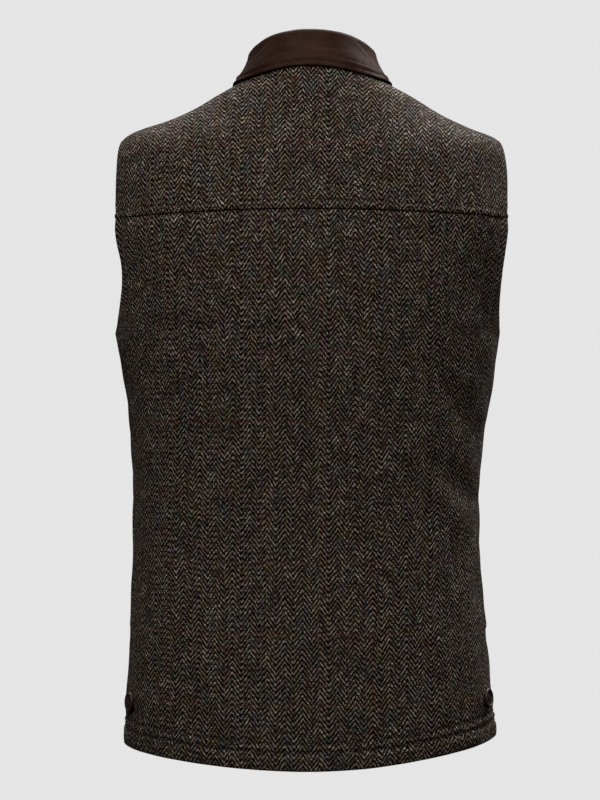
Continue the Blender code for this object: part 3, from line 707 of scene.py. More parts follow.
# ---------------------------------------------------------------- finishes
def tweed_finish():
    """Herringbone tweed of mixed yarns: light floats slant up to peaks over a dark ground, with a check."""
    look = bpy.context.scene.gilet_tweed
    web = Web("tweed_cloth")
    across, up = web.cloth_place()
    end, pick, stripe = look.end_width * 1000, look.pick_height * 1000, look.stripe_ends

    # The yarns wander a little, both ways.
    u = across + (web.cloud(web.at(across, up), 0.05) - 0.5) * 3.0
    v = up + (web.cloud(web.at(across, up, 9.0), 0.05) - 0.5) * 3.4

    # Each warp end floats a step on from its neighbour, and the steps turn back at each stripe.
    ends = (u - PEAK) / end + stripe
    number = ends.floor()
    turn = abs(((number + 0.5) % (2 * stripe)) / stripe - 1)
    slip = web.scatter(number, 3.3) - 0.5
    climb = v / (4 * pick) + turn * (stripe / 4) + slip * 0.22
    step = climb.floor()
    loose = web.cloud(web.at(u, v, 15.0), 0.75, 1.0)
    away = abs(climb - step - 0.5) * 2 + (loose - 0.5) * 0.85
    line = 1 - web.between(away, 0.17, 0.46)

    # Each float of the warp shows its own mix of fibres, and broad patches share a tint.
    float_shade = web.scatter(number, step)
    gap_shade = web.scatter(number + 0.5, (climb - 0.5).floor() + 40.5)
    warp_shade = web.cloud(web.at(number * 5.13, v * 0.11, 4.0), 1.0, 2.0, 0.6)
    warp, weft = look.light, look.dark
    tints = (
        (look.mauve, 0.50, 0.050, 60.0),
        (look.olive, 0.54, 0.060, 80.0),
        (look.slate, 0.56, 0.050, 100.0),
        (look.rust, 0.60, 0.070, 120.0),
        (look.cream, 0.57, 0.090, 140.0),
    )
    for tint, start, scale, depth in tints:
        patch = web.cloud(web.at(u * 1.5, v * 0.8, depth), scale, 1.6, 0.55)
        share = web.between(patch, start - 0.08, start + 0.12)
        warp = web.mix(share * 0.72, warp, scaled(tint, 1.1))
        weft = web.mix(share * 0.80, weft, tuple((c / max(tint)) ** 2.2 * 0.0090 for c in tint))
    tone = web.cloud(web.at(u, v, 160.0), 0.10, 3.0, 0.6)
    mixed = 0.06 + float_shade**1.6 * 1.30 + warp_shade * 0.60
    warp = web.shade(warp, mixed * (0.35 + tone * 1.30))
    weft = web.shade(weft, 0.04 + gap_shade**1.5 * 1.75)

    # Overcheck: coloured ends down the middle of every third peak, and coloured picks across.
    check, pitch = look.check_width * 1000, look.check_height * 1000
    lines = (u - PEAK + 2 * stripe * end) / check + 0.5
    line_number = lines.floor()
    off_line = abs(lines - line_number - 0.5) * check
    share = (1 - web.between(off_line, 0.6, 2.0)) * web.between(warp_shade, 0.38, 0.70)
    colours = (look.orange, look.mustard, look.mustard, look.red)
    down = web.pick((line_number % 4) / 4 + 0.02, (0.0, 0.25, 0.5, 0.75), colours)
    warp = web.mix(share * 0.30, warp, down)
    weft = web.mix(share * 0.08, weft, down)
    rows = (v + 19.0) / pitch + 0.5
    off_row = abs(rows - rows.floor() - 0.5) * pitch
    share = (1 - web.between(off_row, 0.8, 2.4)) * web.between(loose, 0.38, 0.62)
    warp = web.mix(share * 0.35, warp, look.rust_line)
    weft = web.mix(share * 0.16, weft, look.rust_line)

    # Neps: flecks of bright wool caught in single floats.
    chance = web.scatter(number + 7.3, step + 5.1)
    hue = web.scatter(number + 31.7, step + 11.3)
    green, violet = (0.055, 0.090, 0.035), (0.075, 0.050, 0.095)
    teal, white = (0.040, 0.080, 0.085), (0.17, 0.155, 0.13)
    flecks = (look.mustard, look.orange, look.red, green, violet, teal, white)
    fleck = web.pick(hue, (0.0, 0.16, 0.30, 0.40, 0.56, 0.68, 0.80), flecks)
    warp = web.mix((chance > 0.985) * 0.5, warp, fleck)

    # Yarns are round: painted shade darkens each where it dips beside the next and it is painted lighter on
    # its crown, and their fibres stand up as fuzz.
    round_end = 1 - abs((ends - number) * 2 - 1) ** 2
    shown = web.shade(web.mix(line, weft, warp), 0.78 + line * round_end * 0.34)
    grain = web.cloud(web.at(across, up, 70.0), 1.0, 2.0, 0.7)
    shown = web.shade(shown, 0.20 + grain * 1.60)
    fuzz = web.cloud(web.at(across, up, 50.0), 2.2, 3.0, 0.7)
    shown = web.mix(web.between(fuzz, 0.55, 0.85) * 0.06, shown, look.light)
    relief = web.raise_by(line * (0.55 + round_end * 0.45), 0.00040, 0.7)
    return web.finish(
        Base_Color=shown,
        Roughness=0.88 + fuzz * 0.1,
        Normal=web.raise_by(fuzz, 0.00030, 0.5, Normal=relief),
        Specular_IOR_Level=0.02,
        Sheen_Weight=look.nap,
        Sheen_Roughness=0.5,
        Sheen_Tint=(0.62, 0.54, 0.46, 1.0),
    )


def leather_finish():
    """Soft brown leather with grain, mottled wear and a low sheen, with painted shade in its creases and over
    the collar's left part.
    """
    look = bpy.context.scene.gilet_trim
    web = Web("dark_leather")
    place = web.place()
    grain = web.node("ShaderNodeTexVoronoi", {"feature": "DISTANCE_TO_EDGE"}, Vector=place, Scale=900.0)
    fine = web.cloud(place, 1700.0)
    wrinkle = web.cloud(place, 70.0)
    mottle = web.cloud(place, 26.0, 3.0, 0.6)
    pits = web.between(grain, 0.0, 0.16)
    crease = 1 - web.between(abs(wrinkle - 0.5) * 2, 0.0, 0.14)
    worn = web.between(mottle, 0.34, 0.68)
    # The collar's part toward the wearer's left, darkened below as painted shade.
    left = web.between(web.node("ShaderNodeSeparateXYZ", Vector=place), 0.022, 0.060)
    base = web.mix(worn, look.leather, look.leather_worn)
    # Painted shade darkens the creases and the collar's part toward the wearer's left (+X); the grain's lines
    # are darkened as the leather's own colour.
    for share, darker in ((crease * 0.12, 0.45), (left * 0.55, 0.55), ((1 - pits) * 0.25, 0.5)):
        base = web.mix(share, base, scaled(look.leather, darker))
    relief = web.raise_by(pits + fine * 0.4, 0.00005, 0.35)
    return web.finish(
        Base_Color=base,
        Roughness=0.50 + mottle * 0.20 + crease * 0.12,
        Normal=web.raise_by(wrinkle - crease * 0.10, 0.0010, 0.45, Normal=relief),
        Specular_IOR_Level=0.022,
    )


def horn_finish():
    """Dark brown horn with paler streaks, polished on top."""
    look = bpy.context.scene.gilet_trim
    web = Web("dark_horn")
    place = web.place()
    drawn_out = web.node("ShaderNodeVectorMath", {"operation": "MULTIPLY"}, i0=place, i1=(90.0, 90.0, 420.0))
    streak = web.between(web.cloud(drawn_out, 1.0, 3.0), 0.42, 0.70)
    speck = web.cloud(place, 900.0)
    return web.finish(
        Base_Color=web.mix(streak, look.horn, scaled(look.horn, 2.2)),
        Roughness=0.34 + speck * 0.12,
        Normal=web.raise_by(speck, 0.00004, 0.5),
        Specular_IOR_Level=0.22,
    )


def thread_finish(name, lift):
    """Twisted thread: fine slanting plies with painted shade between them and painted highlight on their
    crests, and a soft, matt colour.
    """
    base = scaled(bpy.context.scene.gilet_trim.thread, lift)
    web = Web(name)
    slant = {"bands_direction": "DIAGONAL"}
    plies = web.node("ShaderNodeTexWave", slant, Vector=web.place(), Scale=900.0, Distortion=1.5, Detail=1.0)
    ply = web.node("ShaderNodeSeparateColor", Color=plies)
    # The ply wave paints the colour darker between the plies and lighter on their crests: painted shade and
    # painted highlight.
    return web.finish(
        Base_Color=web.mix(ply, scaled(base, 0.6), scaled(base, 1.7)),
        Roughness=0.72 + ply * 0.15,
        Normal=web.raise_by(ply, 0.00008, 0.7),
        Specular_IOR_Level=0.3,
    )


def thread(name="thread", lift=1.0):
    """The material of a thread, lighter or darker than the topstitching by lift."""
    return shared(name, lambda: thread_finish(name, lift))


# ---------------------------------------------------------------- stitches
def stadium(long, thick, steps, rings):
    """Points of a rounded bar's surface along +X, and its quads."""
    share = np.repeat(np.arange(rings + 1) / rings, steps)
    turn = np.tile(np.arange(steps) / steps * 2 * math.pi, rings + 1)
    radius = thick * np.sqrt(np.clip(1 - np.abs(2 * share - 1) ** 3.2, 0, 1))
    points = np.column_stack([(share - 0.5) * long, radius * np.cos(turn), radius * np.sin(turn)])
    quads = []
    for i in range(rings):
        for j in range(steps):
            a, b = i * steps + j, i * steps + (j + 1) % steps
            quads.append((a, b, b + steps, a + steps))
    return points, quads


def joined(parts, quads):
    """The points and faces of many parts that have the same quads."""
    size_of_one = len(parts[0])
    faces = [tuple(k + size_of_one * i for k in quad) for i in range(len(parts)) for quad in quads]
    return np.concatenate(parts), faces


def turned(points, angle):
    """Points turned about Z."""
    x, y, z = points.T
    cos, sin = math.cos(angle), math.sin(angle)
    return np.column_stack([x * cos - y * sin, x * sin + y * cos, z])


def stitch_row(name, points, out, slot, share=1.0):
    """A row of separate stitches that lie on a surface, each a rounded bar that dips at both ends."""
    stitch = bpy.context.scene.gilet_trim.stitch * share
    pitch = stitch * STITCH_PITCH
    gone = lengths_along(points)
    count = max(2, int(gone[-1] / pitch))
    middles = (np.arange(count) + 0.5) * gone[-1] / count

    def along(values, shift=0.0):
        return np.stack([np.interp(middles + shift, gone, values[:, i]) for i in range(3)], axis=1)

    z = unit(along(out))
    x = unit(along(points, pitch * 0.4) - along(points, -pitch * 0.4))
    y = unit(np.cross(z, x))
    x = np.cross(y, z)
    bar, quads = stadium(stitch, STITCH_THICK, 6, 6)
    rise = bar[:, 2] - STITCH_THICK * 1.1 * (2 * bar[:, 0] / stitch) ** 2 + STITCH_LIFT
    parts = []
    for i, place in enumerate(along(points)):
        parts.append(place + bar[:, :1] * x[i] + bar[:, 1:2] * y[i] + rise[:, None] * z[i])
    add_piece(name, new_mesh(name, *joined(parts, quads)), thread())


def row_line(row, distances, surface, facing):
    """Where each line of a surface's points reaches a row's distance: the place, and the normal there."""
    points, out = [], []
    for length, spots, normal in zip(distances, surface, facing):
        order = np.argsort(length)
        for found, values in ((points, spots), (out, normal)):
            found.append([np.interp(row, length[order], values[order, k]) for k in range(3)])
    return np.array(points), np.array(out)


# ---------------------------------------------------------------- the cloth pieces
def puckers(away, u):
    """Little puckers that run across a row of stitches."""
    uneven = 0.6 + 0.4 * np.sin(u * 37)
    return 0.00045 * bump(away, 0.006) * np.sin(u * 520 + 2.3 * np.sin(u * 61)) * uneven


def hem_rows():
    cloth = bpy.context.scene.gilet_cloth
    return cloth.hem_band, cloth.hem_band + cloth.hem_rows


def shape_hem(shell, climb):
    """The turned hem: a soft roll under two dented, puckered rows of stitches."""
    cloth = bpy.context.scene.gilet_cloth
    lower, upper = hem_rows()
    puff = np.sin(np.clip(climb / lower, 0, 1) * math.pi) ** 0.7
    puff += 0.5 * bump(climb - (lower + upper) / 2, cloth.hem_rows * 0.3)
    shell.rise += cloth.hem_puff * puff
    for row, dent in ((lower, 0.0016), (upper, 0.0014)):
        shell.rise += puckers(climb - row, shell.u) - dent * bump(climb - row, 0.0021)


def hem_stitches(name, shell, climb, columns=slice(None)):
    surface, facing = np.swapaxes(shell.outer(), 0, 1), np.swapaxes(shell.normal, 0, 1)
    for number, row in enumerate(hem_rows(), 1):
        points, out = row_line(row, climb.T[columns], surface[columns], facing[columns])
        stitch_row(f"hem_stitches_{name}_{number}", points, out, "tweed")


def spaced(share, start, end, length, cut=0.0):
    """Places from start to end, close together at both edges. A cut moves the start."""
    way = np.sign(end - start)
    places = start + (end - start) * share + way * cut * (1 - share) ** 3
    steps = edge_steps(0.0024, 3)[:-1] / length * way
    first, last = places[0] + steps, (places[-1] - steps)[::-1]
    low, high = first[-1] + steps[1] * 0.7, last[0] - steps[1] * 0.7
    inner = (places[1:-1] - places[0]) / (places[-1] - places[0])
    return np.concatenate([first, low + (high - low) * inner, last])


def back_columns(step):
    count = round(0.62 / step)
    share = np.linspace(-1, 1, count + 1)
    share = (share * (1.15 - 0.15 * share**2) + 1) / 2
    gap = bpy.context.scene.gilet_cloth.seam_gap / 2

    def places(height):
        lap = VENT_LAP * ease(VENT_TOP - height, 0.0, 0.014)
        reach, cut = {}, {}
        for side in SIDES:
            length = quarter_length(side, "back", height)
            reach[side] = seam_place(side, height) + (lap - gap) / length
            cut[side] = side_cut(side, "back", height)
        row = spaced(share, -reach[-1], reach[1], quarter_length(1, "back", height))
        out = np.where(row < 0, row / reach[-1], row / reach[1])
        return row - np.sign(out) * np.where(row < 0, cut[-1], cut[1]) * np.abs(out) ** 3

    return places


def front_columns(side, step):
    share = np.linspace(0, 1, round(0.34 / step) + 1)
    share = share * (0.75 + 0.25 * share)
    gap = bpy.context.scene.gilet_cloth.seam_gap / 2

    def places(height):
        length = quarter_length(side, "front", height)
        start, end = seam_place(side, height) + gap / length, 2 + FRONT_LAP / length
        return side * spaced(share, start, end, length, side_cut(side, "front", height))

    return places


def shoulder_heights():
    """Ring heights from the shoulder point to the neck, close together at its round edge."""
    return join_heights(even_steps(SHOULDER_POINT, NECK - EDGE_ROUND, 0.0036), NECK - edge_steps(EDGE_ROUND))


def seam_depth(shell):
    """How deep the yoke seam is along its length: it lies flat where it meets the armholes."""
    return 0.15 + 0.85 * ease(shell.edge_distance("first", "last"), 0.004, 0.034)


def make_back():
    step = bpy.context.scene.gilet_cloth.step
    top, crowded = YOKE_SEAM + 0.0030, 0.019
    arm = arm_heights(step)
    heights = join_heights(body_heights(step), arm[arm < top - crowded], top - edge_steps(crowded, 12))
    shell = Shell(heights, back_columns(step), "back").softened()
    climb = lengths_along(shell.base)
    shape_hem(shell, climb)
    to_top = climb[-1] - climb
    shell.rise -= 0.0009 * ease(-to_top, -0.0060, -0.0018) * seam_depth(shell)
    shell.rise += 0.0004 * bump(to_top - 0.014, 0.005)
    add_tweed(shell, "back_cloth", "back", shell.edge_distance(*EDGES))
    hem_stitches("back", shell, climb)


def make_yoke():
    cloth = bpy.context.scene.gilet_cloth
    arm, low = arm_heights(cloth.step), YOKE_SEAM + 0.0004
    near_edge = low + np.concatenate([edge_steps(0.0024), even_steps(0.0024, 0.016, 0.0017)])
    heights = join_heights(near_edge, arm[arm > low + 0.017], shoulder_heights())
    shell = Shell(heights, back_columns(cloth.step), "back").softened()
    climb = lengths_along(shell.base)
    row = climb - cloth.yoke_row
    shell.rise += cloth.yoke_lap * (1 - ease(climb, 0.004, 0.022)) * seam_depth(shell)
    shell.rise += 0.0005 * bump(climb - cloth.yoke_row * 0.5, 0.0022) - 0.0018 * bump(row, 0.0016)
    shell.rise += puckers(row, shell.u)
    add_tweed(shell, "yoke_cloth", "back_yoke", shell.edge_distance(*EDGES))
    lines = (np.swapaxes(grid, 0, 1) for grid in (climb, shell.outer(), shell.normal))
    stitch_row("yoke_stitches", *row_line(cloth.yoke_row, *lines), "tweed")


def front_inset(side, shell):
    """How far the lapped cloth steps in: the right front at the centre, both fronts at the vents."""
    inward = np.zeros(shell.base.shape[:2])
    for i, height in enumerate(shell.heights):
        q = np.abs(shell.places[i])
        share = 1 - ease(height, VENT_TOP, VENT_TOP + 0.012)
        from_seam = (q - seam_place(side, height)) * quarter_length(side, "back", height)
        inward[i] = share * (1 - ease(from_seam, VENT_LAP + 0.004, 0.045))
        if side < 0:
            to_centre = (2 - q) * quarter_length(side, "front", height)
            inward[i] += 1 - ease(to_centre, FRONT_LAP + 0.004, 0.050)
    return inward * (bpy.context.scene.gilet_cloth.wall + LAP_EASE)


def make_front(side):
    cloth = bpy.context.scene.gilet_cloth
    name = SIDES[side]
    vent = even_steps(VENT_TOP - 0.002, VENT_TOP + 0.014, 0.002)
    heights = join_heights(body_heights(cloth.step), vent, arm_heights(cloth.step), shoulder_heights())
    shell = Shell(heights, front_columns(side, cloth.step), "front", side).softened(0.8)
    climb, to_edge = lengths_along(shell.base), shell.edge_distance("last")
    shape_hem(shell, climb)
    shell.rise += 0.0005 * np.sin(np.clip(to_edge / 0.0065, 0, 1) * math.pi)
    shell.rise -= 0.0007 * bump(to_edge - FRONT_ROW, 0.0017) + front_inset(side, shell)
    add_tweed(shell, f"front_cloth_{name}", f"front_{name}", shell.edge_distance(*EDGES))
    hem_stitches(name, shell, climb, slice(4, -6))
    rows = climb.mean(axis=1) >= cloth.hem_band - 0.006
    line = row_line(FRONT_ROW, to_edge[rows], shell.outer()[rows], shell.normal[rows])
    stitch_row(f"edge_stitches_{name}", *line, "tweed")


def make_underlap(side):
    """The strip that carries on under the back where a side vent opens."""
    cloth = bpy.context.scene.gilet_cloth
    hem, share = SECTIONS[0].back_z, np.linspace(0, 1, 10)
    middle = even_steps(hem + EDGE_ROUND, VENT_TOP - EDGE_ROUND, 0.004)
    heights = join_heights(hem + edge_steps(EDGE_ROUND), middle, VENT_TOP - edge_steps(EDGE_ROUND))

    def places(height):
        length = quarter_length(side, "back", height)
        end = seam_place(side, height) - cloth.seam_gap / 2 / length
        return side * spaced(share, end - VENT_UNDERLAP / length, end, length)

    shell = Shell(heights, places, "back")
    shell.rise -= cloth.wall + 0.0007
    name = SIDES[side]
    add_tweed(shell, f"underlap_cloth_{name}", f"vent_underlap_{name}", shell.edge_distance(*EDGES))


# ---------------------------------------------------------------- the collar
def collar_column(name, at):
    return smooth([c.at for c in COLLAR], [getattr(c, name) for c in COLLAR], np.abs(at))


def down_cloth(places, distances):
    """The ring heights that lie cloth distances below the neck edge, at places on the ring."""
    heights = np.linspace(NECK, NECK - 0.16, 161)
    gone = lengths_along(np.array([base_points(places, h) for h in heights]))
    return np.array([np.interp(d, gone[:, i], heights) for i, d in enumerate(distances)])


def bezier(points, share):
    a, b, c, d = (p[:, None, :] for p in points)
    f = share[None, :, None]
    return a * (1 - f) ** 3 + 3 * b * f * (1 - f) ** 2 + 3 * c * f**2 * (1 - f) + d * f**3


def collar_edge(places, reach, lift):
    """The leaf's lower edge on the cloth, with the cloth's normal and slope there."""
    edge, out, slope = (np.zeros((len(places), 3)) for _ in range(3))
    for i, height in enumerate(down_cloth(places, reach)):
        point, out[i] = on_cloth(places[i], height)
        edge[i] = point + out[i] * lift[i]
        slope[i] = (base_points([places[i]], height + PROBE) - base_points([places[i]], height))[0]
    return edge, out, unit(slope)


def collar_middle():
    """The collar's middle surface: up the stand, round the roll and down the leaf, cut by cut."""
    wall, leather = bpy.context.scene.gilet_cloth.wall, bpy.context.scene.gilet_trim.leather_wall
    ends = edge_steps(0.008)[:-1]
    cuts = np.concatenate([-1 + ends, np.linspace(-0.99, 0.99, 150), (1 - ends)[::-1]])
    places = cuts * (2 - 0.0012 / quarter_length(1, "front", NECK))
    lean, stand, reach, sweep, lift = (collar_column(name, cuts) for name in CollarCut._fields[1:])

    rim, out = base_points(places, NECK), normals(places, NECK)
    up_cloth = unit(rim - base_points(places, NECK - PROBE))
    level, up = unit(out * [1, 1, 0]), np.array([0, 0, 1.0])
    foot = rim - out * wall / 2 + up_cloth * COLLAR_SEAM
    top = rim - level * (lean + ROLL)[:, None] + up * stand[:, None]
    climbs = np.concatenate([[0, 0.02, 0.06], np.linspace(0.12, 1, 9)])
    rising = bezier((foot, foot + up_cloth * 0.008, top - up * 0.012, top), climbs)

    turns = np.linspace(0, math.pi, 11)[None, 1:, None]
    roll = (top + level * ROLL)[:, None] + ROLL * (np.sin(turns) * up - np.cos(turns) * level[:, None])

    # Over the shoulders the leaf's lower half lies along the cloth, and elsewhere it hangs straight.
    over = roll[:, -1]
    edge, edge_out, slope = collar_edge(places * (1 - sweep / 2), reach, leather / 2 + lift)
    run = np.linalg.norm(edge - over, axis=1)[:, None]
    lies = 0.55 * (ease(np.abs(cuts), 0.20, 0.42) * (1 - ease(np.abs(cuts), 0.60, 0.80)))[:, None]
    hangs = edge - (edge - over) * 0.35
    last_handle = hangs + (edge + slope * run * 0.35 - hangs) * lies
    last_handle += edge_out * run * 0.07 * (1 - lies * 0.6)
    falls = np.concatenate([np.linspace(0, 0.9, 20)[1:], [0.93, 0.955, 0.975, 0.988, 0.996, 1.0]])
    falling = bezier((over, over - up * run * 0.30 + level * run * 0.05, last_handle, edge), falls)
    return cuts, np.concatenate([rising, roll, falling], axis=1)


def collar_relief(middle, down, row):
    """The leather's uneven surface and, on the leaf, its pulls and the groove of its row of stitches."""
    drift = [noise.noise(Vector(p) * 38) + 0.6 * noise.noise(Vector(p) * 95) for p in middle.reshape(-1, 3)]
    falls = ease(down / down[:, -1:], 0.42, 0.55)
    rise = np.zeros(row.shape)
    for pull in COLLAR_PULLS:
        dx, dz = middle[:, :, 0] - pull.x, middle[:, :, 2] - pull.z
        aside = (dz - pull.slope * dx) / math.hypot(1, pull.slope)
        ahead = (dx + pull.slope * dz) / math.hypot(1, pull.slope)
        there = bump(ahead, pull.reach) * (middle[:, :, 1] > -0.03)
        rise += there * pull.depth * (bump(aside - 0.0022, 0.0018) - bump(aside, 0.0013))
    rise += 0.0011 * bump(row - 0.0054, 0.0017) - 0.0013 * bump(row - COLLAR_ROW, 0.0010)
    rise += 0.0003 * bump(row - 0.0094, 0.0012)
    return 0.00035 * np.array(drift).reshape(row.shape) + falls * rise


def make_collar():
    wall = bpy.context.scene.gilet_trim.leather_wall
    cuts, middle = collar_middle()
    normal = unit(np.cross(np.gradient(middle, axis=0), np.gradient(middle, axis=1)))
    down, along = lengths_along(middle, 1), lengths_along(middle, 0)
    to_edge = down[:, -1:] - down
    row = np.minimum(to_edge, np.minimum(along, along[-1:] - along))
    middle = middle - normal * collar_relief(middle, down, row)[:, :, None]
    away = np.minimum(down, row)
    name, finish = "collar_leather", shared("dark_leather", leather_finish)
    mesh = sheet_mesh(name, middle + normal * wall / 2, normal, along, down, wall, away, 0.0014)
    piece = add_piece(name, mesh, finish, "collar")

    sewn = np.abs(cuts) <= 0.985
    skin = middle - normal * wall / 2
    line = row_line(COLLAR_ROW, to_edge[sewn], skin[sewn], -normal[sewn])
    stitch_row("collar_stitches", *line, "collar_leather", 0.94)


# ---------------------------------------------------------------- buttons and buttonholes
def button_mesh(width):
    """A dished, rimmed button with four holes, its top facing +Z and its underside at 0."""
    bm = bmesh.new()
    verts = [bm.verts.new((width / 2 * share, 0, z)) for share, z in BUTTON_SECTION]
    edges = [bm.edges.new(pair) for pair in zip(verts, verts[1:])]
    turn = {"angle": 2 * math.pi, "steps": 48, "axis": (0, 0, 1), "cent": (0, 0, 0), "use_merge": True}
    bmesh.ops.spin(bm, geom=verts + edges, **turn)
    bmesh.ops.remove_doubles(bm, verts=bm.verts, dist=1e-6)
    bmesh.ops.recalc_face_normals(bm, faces=bm.faces)
    holes = bmesh.new()
    cone = {"cap_ends": True, "segments": 16, "radius1": 0.00085, "radius2": 0.00105, "depth": 0.006}
    for x, y in ((1, 1), (1, -1), (-1, 1), (-1, -1)):
        bmesh.ops.create_cone(holes, matrix=Matrix.Translation((x * 0.00165, y * 0.00165, 0.001)), **cone)
    made = []
    for name, shape in (("button_blank", bm), ("button_holes", holes)):
        made.append(link(name, bpy.data.meshes.new(name)))
        shape.to_mesh(made[-1].data)
        shape.free()
    blank, cutter = made
    cut = blank.modifiers.new("holes", "BOOLEAN")
    cut.operation, cut.solver, cut.object = "DIFFERENCE", "EXACT", cutter
    depsgraph = bpy.context.evaluated_depsgraph_get()
    result = bpy.data.meshes.new_from_object(blank.evaluated_get(depsgraph))
    for done in made:
        bpy.data.objects.remove(done, do_unlink=True)
    result.shade_smooth()
    result.set_sharp_from_angle(angle=math.radians(40))
    return result


def thread_mesh():
    """The crossed threads in a button's holes, and the shank under it."""
    bar, bar_quads = stadium(THREAD_LONG, 0.00026, 6, 10)
    sunk = 0.0021 * np.abs(2 * bar[:, 0] / THREAD_LONG) ** 5
    crossed = []
    for turn, rise in ((45, 0.0024), (135, 0.0028)):
        for offset in (-0.00032, 0.0, 0.00032):
            laid = np.column_stack([bar[:, 0], bar[:, 1] + offset, bar[:, 2] + rise - sunk])
            crossed.append(turned(laid, math.radians(turn)))
    post, post_quads = stadium(0.0030, 0.00035, 6, 4)
    posts = []
    for turn in range(0, 360, 45):
        x, y = 0.0011 * math.cos(math.radians(turn)), 0.0011 * math.sin(math.radians(turn))
        posts.append(np.column_stack([x + post[:, 1], y + post[:, 2], post[:, 0] + 0.0002]))
    (top, faces), (shank, shank_faces) = joined(crossed, bar_quads), joined(posts, post_quads)
    faces += [tuple(k + len(top) for k in quad) for quad in shank_faces]
    return np.concatenate([top, shank]), faces


def standing(point, out, spin):
    """A matrix that stands a part on a surface, its X level before its spin."""
    z = Vector(out).normalized()
    x = Vector((0, 0, 1)).cross(z).normalized()
    turn = Matrix((x, z.cross(x), z)).transposed().to_4x4()
    return Matrix.Translation(Vector(point)) @ turn @ Matrix.Rotation(spin, 4, "Z")


def add_thread(name, points, faces, stand, finish):
    """Adds a piece of thread, moved to its place on the cloth."""
    moved = np.array([stand @ Vector(p) for p in points])
    add_piece(name, new_mesh(name, moved, faces), finish)


def make_button(node, place, height, spin, blank, threads):
    point, out = on_cloth(place, height)
    stand = standing(point + out * BUTTON_RISE, out, spin)
    body = link(f"{node}_horn", blank.copy())
    body.data.materials.clear()
    body.data.materials.append(shared("dark_horn", horn_finish))
    body.data.transform(stand)
    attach(body, "root")
    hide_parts(node)
    add_thread(f"{node}_thread", *threads, stand, thread("button_thread", 1.5))


def slit_path(straight):
    """Stations round a slit: their x and y, and the way that each purl points."""
    half_way = straight + math.pi * SLIT_HALF
    count = int(2 * half_way / PURL_PITCH)
    path = []
    for i in range(count):
        gone = i / count * 2 * half_way
        back, gone = divmod(gone, half_way)
        turn = max(0.0, gone - straight) / SLIT_HALF - math.pi / 2
        way = 1 - 2 * back
        x = min(gone, straight) - straight / 2 + SLIT_HALF * math.cos(turn)
        path.append((way * x, way * SLIT_HALF * math.sin(turn), turn + math.pi * back))
    return path


def buttonhole(name, place, height, long, shift, tilt=0.0):
    """A worked buttonhole: purled stitches packed round a slit."""
    bar, quads = stadium(PURL_LONG, 0.00034, 5, 4)
    bar[:, 2] += 0.00045 - 0.00035 * (2 * bar[:, 0] / PURL_LONG) ** 2
    parts = [turned(bar, turn) + (x + shift, y, 0) for x, y, turn in slit_path(long - 2 * SLIT_HALF)]
    stand = standing(*on_cloth(place, height), tilt)
    add_thread(name, *joined(parts, quads), stand, thread("hole_thread", 0.55))


def front_button_heights():
    top = down_cloth([2.0], [TOP_BUTTON_DROP])[0]
    heights = np.linspace(SECTIONS[0].back_z + LAST_BUTTON_RISE, top, 200)
    front_z = np.array([base_points([2.0], h)[0][2] for h in heights])
    even_z = np.linspace(front_z[-1], front_z[0], len(FRONT_BUTTONS))
    return [float(height) for height in np.interp(even_z, front_z, heights)]


def vent_button_place(side):
    length = quarter_length(side, "back", VENT_BUTTON_HEIGHT)
    return side * (seam_place(side, VENT_BUTTON_HEIGHT) + (VENT_LAP - VENT_BUTTON_IN) / length)


def make_buttons():
    parts = button_mesh(bpy.context.scene.gilet_trim.button_width), thread_mesh()
    for number, (node, height) in enumerate(zip(FRONT_BUTTONS, front_button_heights())):
        make_button(node, 2.0, height, 0.3 * number, *parts)
    for side, name in SIDES.items():
        make_button(f"vent_button_{name}", vent_button_place(side), VENT_BUTTON_HEIGHT, 0.4 * side, *parts)
    bpy.data.meshes.remove(parts[0])


def make_buttonholes():
    for number, height in enumerate(front_button_heights(), 1):
        buttonhole(f"buttonhole_{number}", 2.0, height, 0.024, HOLE_SHIFT)
    for side, name in SIDES.items():
        name, place = f"vent_buttonhole_{name}", vent_button_place(side)
        buttonhole(name, place, VENT_BUTTON_HEIGHT, 0.022, HOLE_SHIFT * side, -0.25 * side)


# ---------------------------------------------------------------- the stage
GARMENT = (0, 0.05, -0.35)  # where most lights point
WARM, PLAIN = (1.0, 0.985, 0.965), (1.0, 1.0, 1.0)
LIGHT_WIDTH = 1.3
Light = namedtuple("Light", "name place aim watts tint")
LIGHTS = [
    Light("key", (1.108, 2.426, 1.485), GARMENT, 101, WARM),
    Light("top", (0.0, 1.402, 2.550), GARMENT, 58, WARM),
    Light("right_rim", (-1.576, -1.272, 2.101), GARMENT, 200, PLAIN),
    Light("right", (-2.677, 1.595, 0.478), GARMENT, 30, PLAIN),
    Light("front", (0.5, -1.5, 2.6), (0, 0, -0.15), 190, PLAIN),
]


def backdrop_finish():
    look = bpy.context.scene.gilet_stage
    black, pale = (0.0, 0.0, 0.0, 1.0), (*look.backdrop, 1.0)
    matt = {"Base_Color": black, "Roughness": 1.0, "Specular_IOR_Level": 0.0}
    return Web("backdrop").finish(Emission_Color=pale, Emission_Strength=1.0, **matt)


def backdrop_mesh(floor, reach=7.0, curve=1.1, sides=96):
    """A wide round floor that curves up into a wall all round."""
    outline = [(0.5, floor)]
    for turn in np.linspace(0, math.pi / 2, 13):
        outline.append((reach - curve + curve * math.sin(turn), floor + curve - curve * math.cos(turn)))
    outline.append((reach, 7.0))
    turns = [i / sides * 2 * math.pi for i in range(sides)]
    points = np.array([(r * math.cos(turn), r * math.sin(turn), z) for r, z in outline for turn in turns])
    faces = [tuple(range(sides))]
    for row in range(len(outline) - 1):
        for i in range(sides):
            a, b = row * sides + i, row * sides + (i + 1) % sides
            faces.append((a, a + sides, b + sides, b))
    mesh = new_mesh("floor", points, faces)
    mesh.shade_smooth()
    mesh.materials.append(backdrop_finish())
    return mesh


